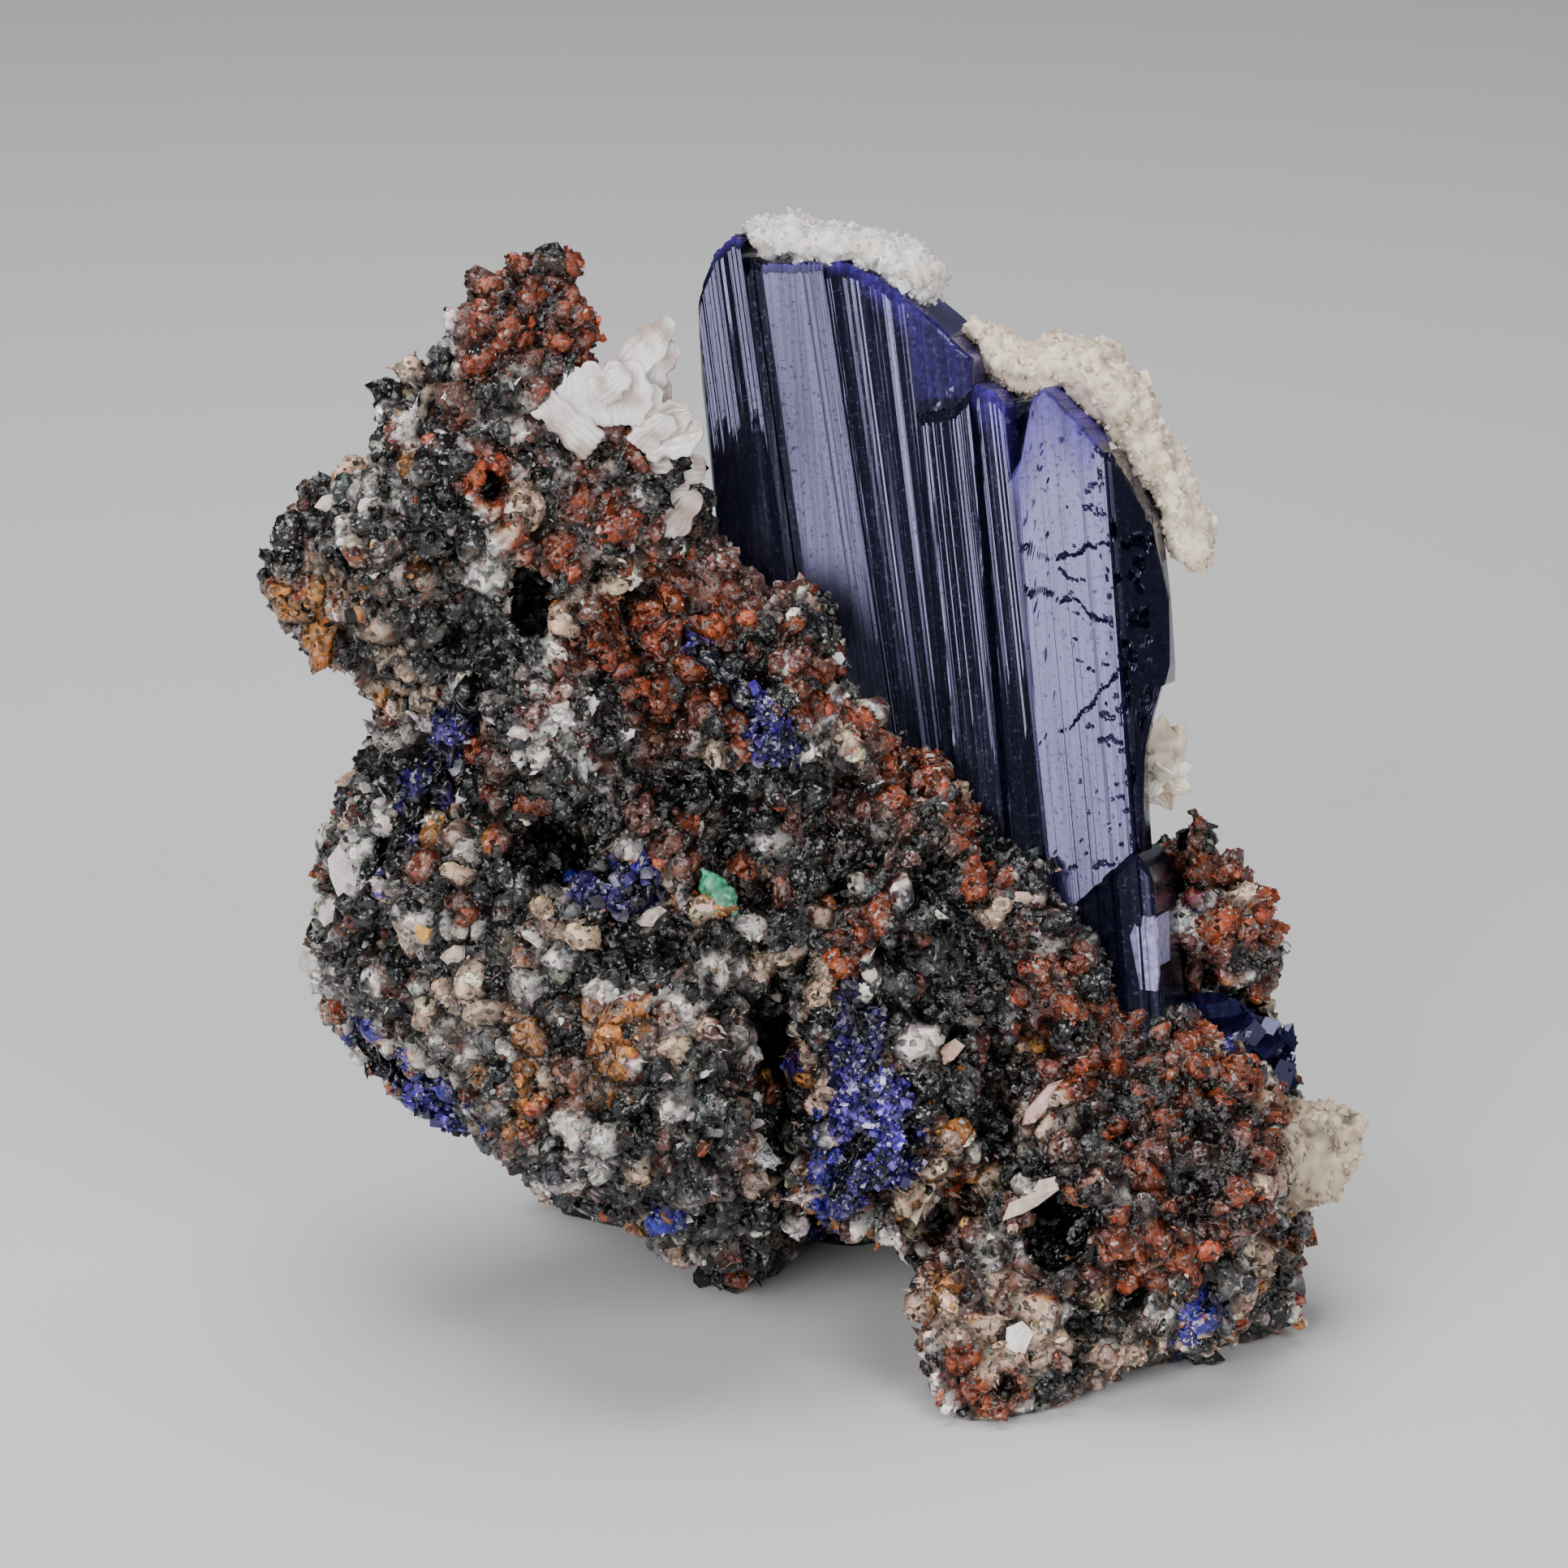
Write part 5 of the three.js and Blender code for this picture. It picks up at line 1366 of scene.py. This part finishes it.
def add_stage(look):
    """A pale floor, soft lights and the photograph's camera."""
    corners = np.array([[-1, -1, 0], [1, -1, 0], [1, 1, 0], [-1, 1, 0]], float) * FLOOR_SIDE / 2 / MM
    mesh = mesh_from("pale_floor", corners + MIDDLE, np.array([[0, 1, 2, 3]]))
    material, _, _ = new_material("floor_paper", Base_Color=rgba(look.floor_colour), Roughness=0.9)
    mesh.materials.append(material)
    floor = bpy.data.objects.new("pale_floor", mesh)
    bpy.context.scene.collection.objects.link(floor)
    world = bpy.data.worlds.new("studio")
    world.use_nodes = True
    sky = world.node_tree.nodes["Background"].inputs
    sky["Color"].default_value = rgba(SKY_COLOUR)
    sky["Strength"].default_value = look.world_strength
    bpy.context.scene.world = world
    for name, place, side, power in SOFTBOXES:
        add_softbox(name, place, side, getattr(look, power))
    camera_data = bpy.data.cameras.new("camera")
    camera_data.sensor_width = SENSOR
    camera_data.lens = PHOTO_FOCAL * SENSOR / PHOTO_SIZE
    camera = bpy.data.objects.new("camera", camera_data)
    back = Vector(TO_CAMERA)
    camera.location = Vector((PHOTO_AIM - MIDDLE) * MM) + back * PHOTO_DISTANCE * MM
    camera.rotation_euler = (-back).to_track_quat("-Z", "Y").to_euler()
    bpy.context.scene.collection.objects.link(camera)
    bpy.context.scene.camera = camera


def add_softbox(name, place, size, power):
    """A square soft light aimed at the middle of the specimen."""
    data = bpy.data.lights.new(name, "AREA")
    data.size = size
    data.energy = power
    light = bpy.data.objects.new(name, data)
    light.location = place
    light.rotation_euler = (Vector(place) - Vector((0, 0, AIM_HEIGHT))).to_track_quat("Z", "Y").to_euler()
    bpy.context.scene.collection.objects.link(light)


# Settings

class RockLook(bpy.types.PropertyGroup):
    voxel: FloatProperty(
        name="Square", description="Side of the rock skin's squares, mm", default=0.43, min=0.2
    )
    swell: FloatProperty(name="Swell", description="Height of the broad relief, mm", default=0.55)
    clump: FloatProperty(name="Clumps", description="Depth of the gaps between clumps, mm", default=1.2)
    grit: FloatProperty(name="Grit", description="Height of the small domes, mm", default=0.45)
    pit: FloatProperty(name="Pits", description="Depth of the pits, mm", default=3.2)
    lump_count: IntProperty(name="Lumps", description="Rounded lumps over the whole rock", default=6800)
    lump_size: FloatProperty(name="Lump size", description="Half size of a usual lump, mm", default=0.6)
    grain_count: IntProperty(name="Grains", description="Grains over the whole rock", default=46000)
    grain_size: FloatProperty(
        name="Grain size", description="Half size of a usual grain, mm", default=0.15
    )
    piece_limit: IntProperty(name="Piece limit", description="Most grains in one piece", default=19500)


class StageLook(bpy.types.PropertyGroup):
    floor_colour: FloatVectorProperty(
        name="Floor", description="Floor colour", subtype="COLOR", default=(0.7, 0.7, 0.7)
    )
    world_strength: FloatProperty(
        name="Surroundings", description="Brightness of the surroundings", default=0.16
    )
    key_power: FloatProperty(
        name="Key", description="Power of the front left softbox", subtype="POWER", default=2.2
    )
    fill_power: FloatProperty(
        name="Fill", description="Power of the right softbox", subtype="POWER", default=1.4
    )
    top_power: FloatProperty(
        name="Top", description="Power of the top softbox", subtype="POWER", default=2.2
    )


# Operators

class SPECIMEN_OT_rock(bpy.types.Operator):
    """Builds the ore rock with its lumps, grains and single pieces"""
    bl_idname = "specimen.rock"
    bl_label = "Ore Rock"

    def execute(self, context):
        look = context.scene.specimen_rock
        random = np.random.default_rng(SEED)
        points, faces, normals, height = build_rock(look)
        skin = ore_material("ore_skin", 0.9, 0.24, 2600.0)
        tints = ore_tints(points, normals, height, random)
        add_piece("ore_rock", points, faces, skin, "ore_matrix", ("matrix",), tints, True)
        lump = ore_material("ore_lump", 1.0, 0.22, 2900.0)
        skins = [(points, faces)]
        for name, lumps, quads, tints in build_lumps(points, faces, look, random):
            add_piece(name, lumps, quads, lump, "ore_matrix", (), tints, True)
            skins.append((lumps, quads))
        grain = ore_material("ore_grain", 0.35, 0.2, 4200.0)
        blue = druse_material("blue_grain", 0.25)
        for name, grains, sides, tints in build_grains(*joined(skins), look, random):
            material, slot = (blue, "azurite_druse") if name == "blue_grains" else (grain, "ore_matrix")
            add_piece(name, grains, sides, material, slot, (), tints)
        tree = BVHTree.FromPolygons(points.tolist(), faces.tolist())
        marks, quads, tints = build_marks(tree)
        chip = calcite_material("pale_chip", 0.4, 0.8)
        add_piece("single_pieces", marks, quads, chip, "ore_matrix", (), tints)
        return {"FINISHED"}


class SPECIMEN_OT_blades(bpy.types.Operator):
    """Builds the standing azurite blades and the dark crystals to their right"""
    bl_idname = "specimen.blades"
    bl_label = "Azurite Blades"

    def execute(self, context):
        random = np.random.default_rng(SEED + 1)
        parts = [blade_mesh(blade, random) for blade in BLADES.values()]
        tints = np.concatenate([crystal_tints(name, part[0]) for name, part in zip(BLADES, parts)])
        local, faces = joined(parts)
        points = from_crystal(local)
        material = azurite_material()
        add_piece("azurite_blades", points, faces, material, "azurite", ("azurite_crystals",), tints)
        points, faces = cluster_mesh(random)
        tints = np.tile(DARK_CRYSTAL, (len(points), 1))
        add_piece("dark_crystals", points, faces, material, "azurite", ("azurite_right_cluster",), tints)
        return {"FINISHED"}


class SPECIMEN_OT_druses(bpy.types.Operator):
    """Builds the bright azurite in the seams and the malachite"""
    bl_idname = "specimen.druses"
    bl_label = "Seams"

    def execute(self, context):
        random = np.random.default_rng(SEED + 2)
        skin = druse_material("azurite_druse_skin", 0.3)
        for node_name, (hold, bright, count, size, spot) in DRUSES.items():
            points, faces, height = ragged_skin(node_name, 0.2, hold, SEED + 3)
            name = node_name.removeprefix("azurite_")
            near = np.minimum((cell_noise(points, 0.45, SEED + 4)[2] ** 1.5 * 3.6).astype(int), 3)
            # Painted shade: darker where the skin is low between its crystals.
            light = np.clip(0.6 + 0.9 * height, 0.05, 1.2)[:, None]
            tints = bright * glow(points, spot) * BLUES[near] * light
            add_piece(name, points, faces, skin, "azurite_druse", (node_name,), rgba_rows(tints), True)
            top = height[faces].mean(1) > -0.15
            crystals, sides = small_crystals(points, faces[top], count, size, 0.1, random)
            picks = random.choice(len(BLUES), count, p=BLUE_SHARES)
            tints = bright * glow(crystals, spot) * np.repeat(BLUES[picks], CRYSTAL_POINTS, axis=0)
            add_piece(name + "_crystals", crystals, sides, skin, "azurite_druse", (), rgba_rows(tints))
        points, faces, height = crusted("malachite_patch", 0.14, ((0.9, 0.35), (0.4, 0.16)), SEED + 5)
        green = MALACHITE_LOW + np.clip(height, 0, 1)[:, None] * MALACHITE_RISE
        skin = druse_material("malachite_skin", 0.5)
        tints = rgba_rows(green)
        add_piece("malachite", points, faces, skin, "malachite", ("malachite_patch",), tints, True)
        return {"FINISHED"}


class SPECIMEN_OT_calcite(bpy.types.Operator):
    """Builds the calcite crusts, blades and knob"""
    bl_idname = "specimen.calcite"
    bl_label = "Calcite"

    def execute(self, context):
        random = np.random.default_rng(SEED + 6)
        sugar = calcite_material("calcite_sugar", 0.4, 0.4)
        for node_name, (colour, count, low) in CRUSTS.items():
            points, faces, height = crusted(node_name, 0.2, CRUST_DOMES, SEED + 8)
            stains = smooth_noise(points, 1.3, SEED + 9) + 0.6 * smooth_noise(points, 0.6, SEED + 10)
            stains = np.clip(stains, 0, 1)
            # Painted shade: darker where the skin is low between its domes; the stains darken it as well.
            light = np.clip(0.9 + 1.2 * (1 - low) * height - 1.6 * (0.6 - low) * stains, low, 1.08)
            tints = np.array(colour) * light[:, None]
            name = node_name.removeprefix("calcite_")
            add_piece(name, points, faces, sugar, "calcite", (node_name,), rgba_rows(tints), True)
            crystals, sides = small_crystals(points, faces, count, 0.14, 0.03, random)
            colours = np.array(colour) * random.uniform(0.6, 1.15, (count, 1))
            rows = rgba_rows(np.clip(colours, 0, 0.92), CRYSTAL_POINTS)
            add_piece(name + "_sugar", crystals, sides, sugar, "calcite", (), rows)
        blade = calcite_material("calcite_blade", 0.25, 0.12)
        for name, petals, node_name, colour in (
            ("peak_blades", PEAK_PETALS, "calcite_peak_plates", (0.76, 0.7, 0.69)),
            ("rosette_blades", ROSETTE_PETALS, "calcite_rosette", (0.86, 0.8, 0.7)),
        ):
            blunt = 0.35 if petals is PEAK_PETALS else 1.0
            points, faces = joined([petal_mesh(petal, blunt, random) for petal in petals])
            stain = np.clip(0.9 + 0.5 * layered_noise(points, 1.6, 3, SEED + 61), 0.55, 1.12)
            tints = rgba_rows(colour * np.column_stack([stain, stain**1.3, stain**1.5]))
            add_piece(name, points, faces, blade, "calcite", (node_name,), tints, True)
        return {"FINISHED"}


class SPECIMEN_OT_stage(bpy.types.Operator):
    """Adds the floor, the lights and the camera"""
    bl_idname = "specimen.stage"
    bl_label = "Stage"

    def execute(self, context):
        add_stage(context.scene.specimen_stage)
        return {"FINISHED"}


class SPECIMEN_PT_panel(bpy.types.Panel):
    """Lists the builders and their settings"""
    bl_idname = "SPECIMEN_PT_panel"
    bl_label = "Azurite Specimen"
    bl_space_type = "VIEW_3D"
    bl_region_type = "UI"
    bl_category = "Specimen"

    def draw(self, context):
        for operator in OPERATORS:
            self.layout.operator(operator.bl_idname)
        for settings in (context.scene.specimen_rock, context.scene.specimen_stage):
            for key in settings.__annotations__:
                self.layout.prop(settings, key)


OPERATORS = (
    SPECIMEN_OT_rock, SPECIMEN_OT_blades, SPECIMEN_OT_druses, SPECIMEN_OT_calcite, SPECIMEN_OT_stage,
)
CLASSES = (RockLook, StageLook, *OPERATORS, SPECIMEN_PT_panel)


def register():
    """Registers the classes and their settings."""
    for one in CLASSES:
        bpy.utils.register_class(one)
    bpy.types.Scene.specimen_rock = PointerProperty(type=RockLook)
    bpy.types.Scene.specimen_stage = PointerProperty(type=StageLook)


def unregister():
    """Takes the classes and their settings away."""
    del bpy.types.Scene.specimen_rock
    del bpy.types.Scene.specimen_stage
    for one in reversed(CLASSES):
        bpy.utils.unregister_class(one)


def main():
    """Builds every piece in order."""
    register()
    bpy.ops.specimen.rock()
    bpy.ops.specimen.blades()
    bpy.ops.specimen.druses()
    bpy.ops.specimen.calcite()
    bpy.ops.specimen.stage()


if __name__ == "__main__":
    main()
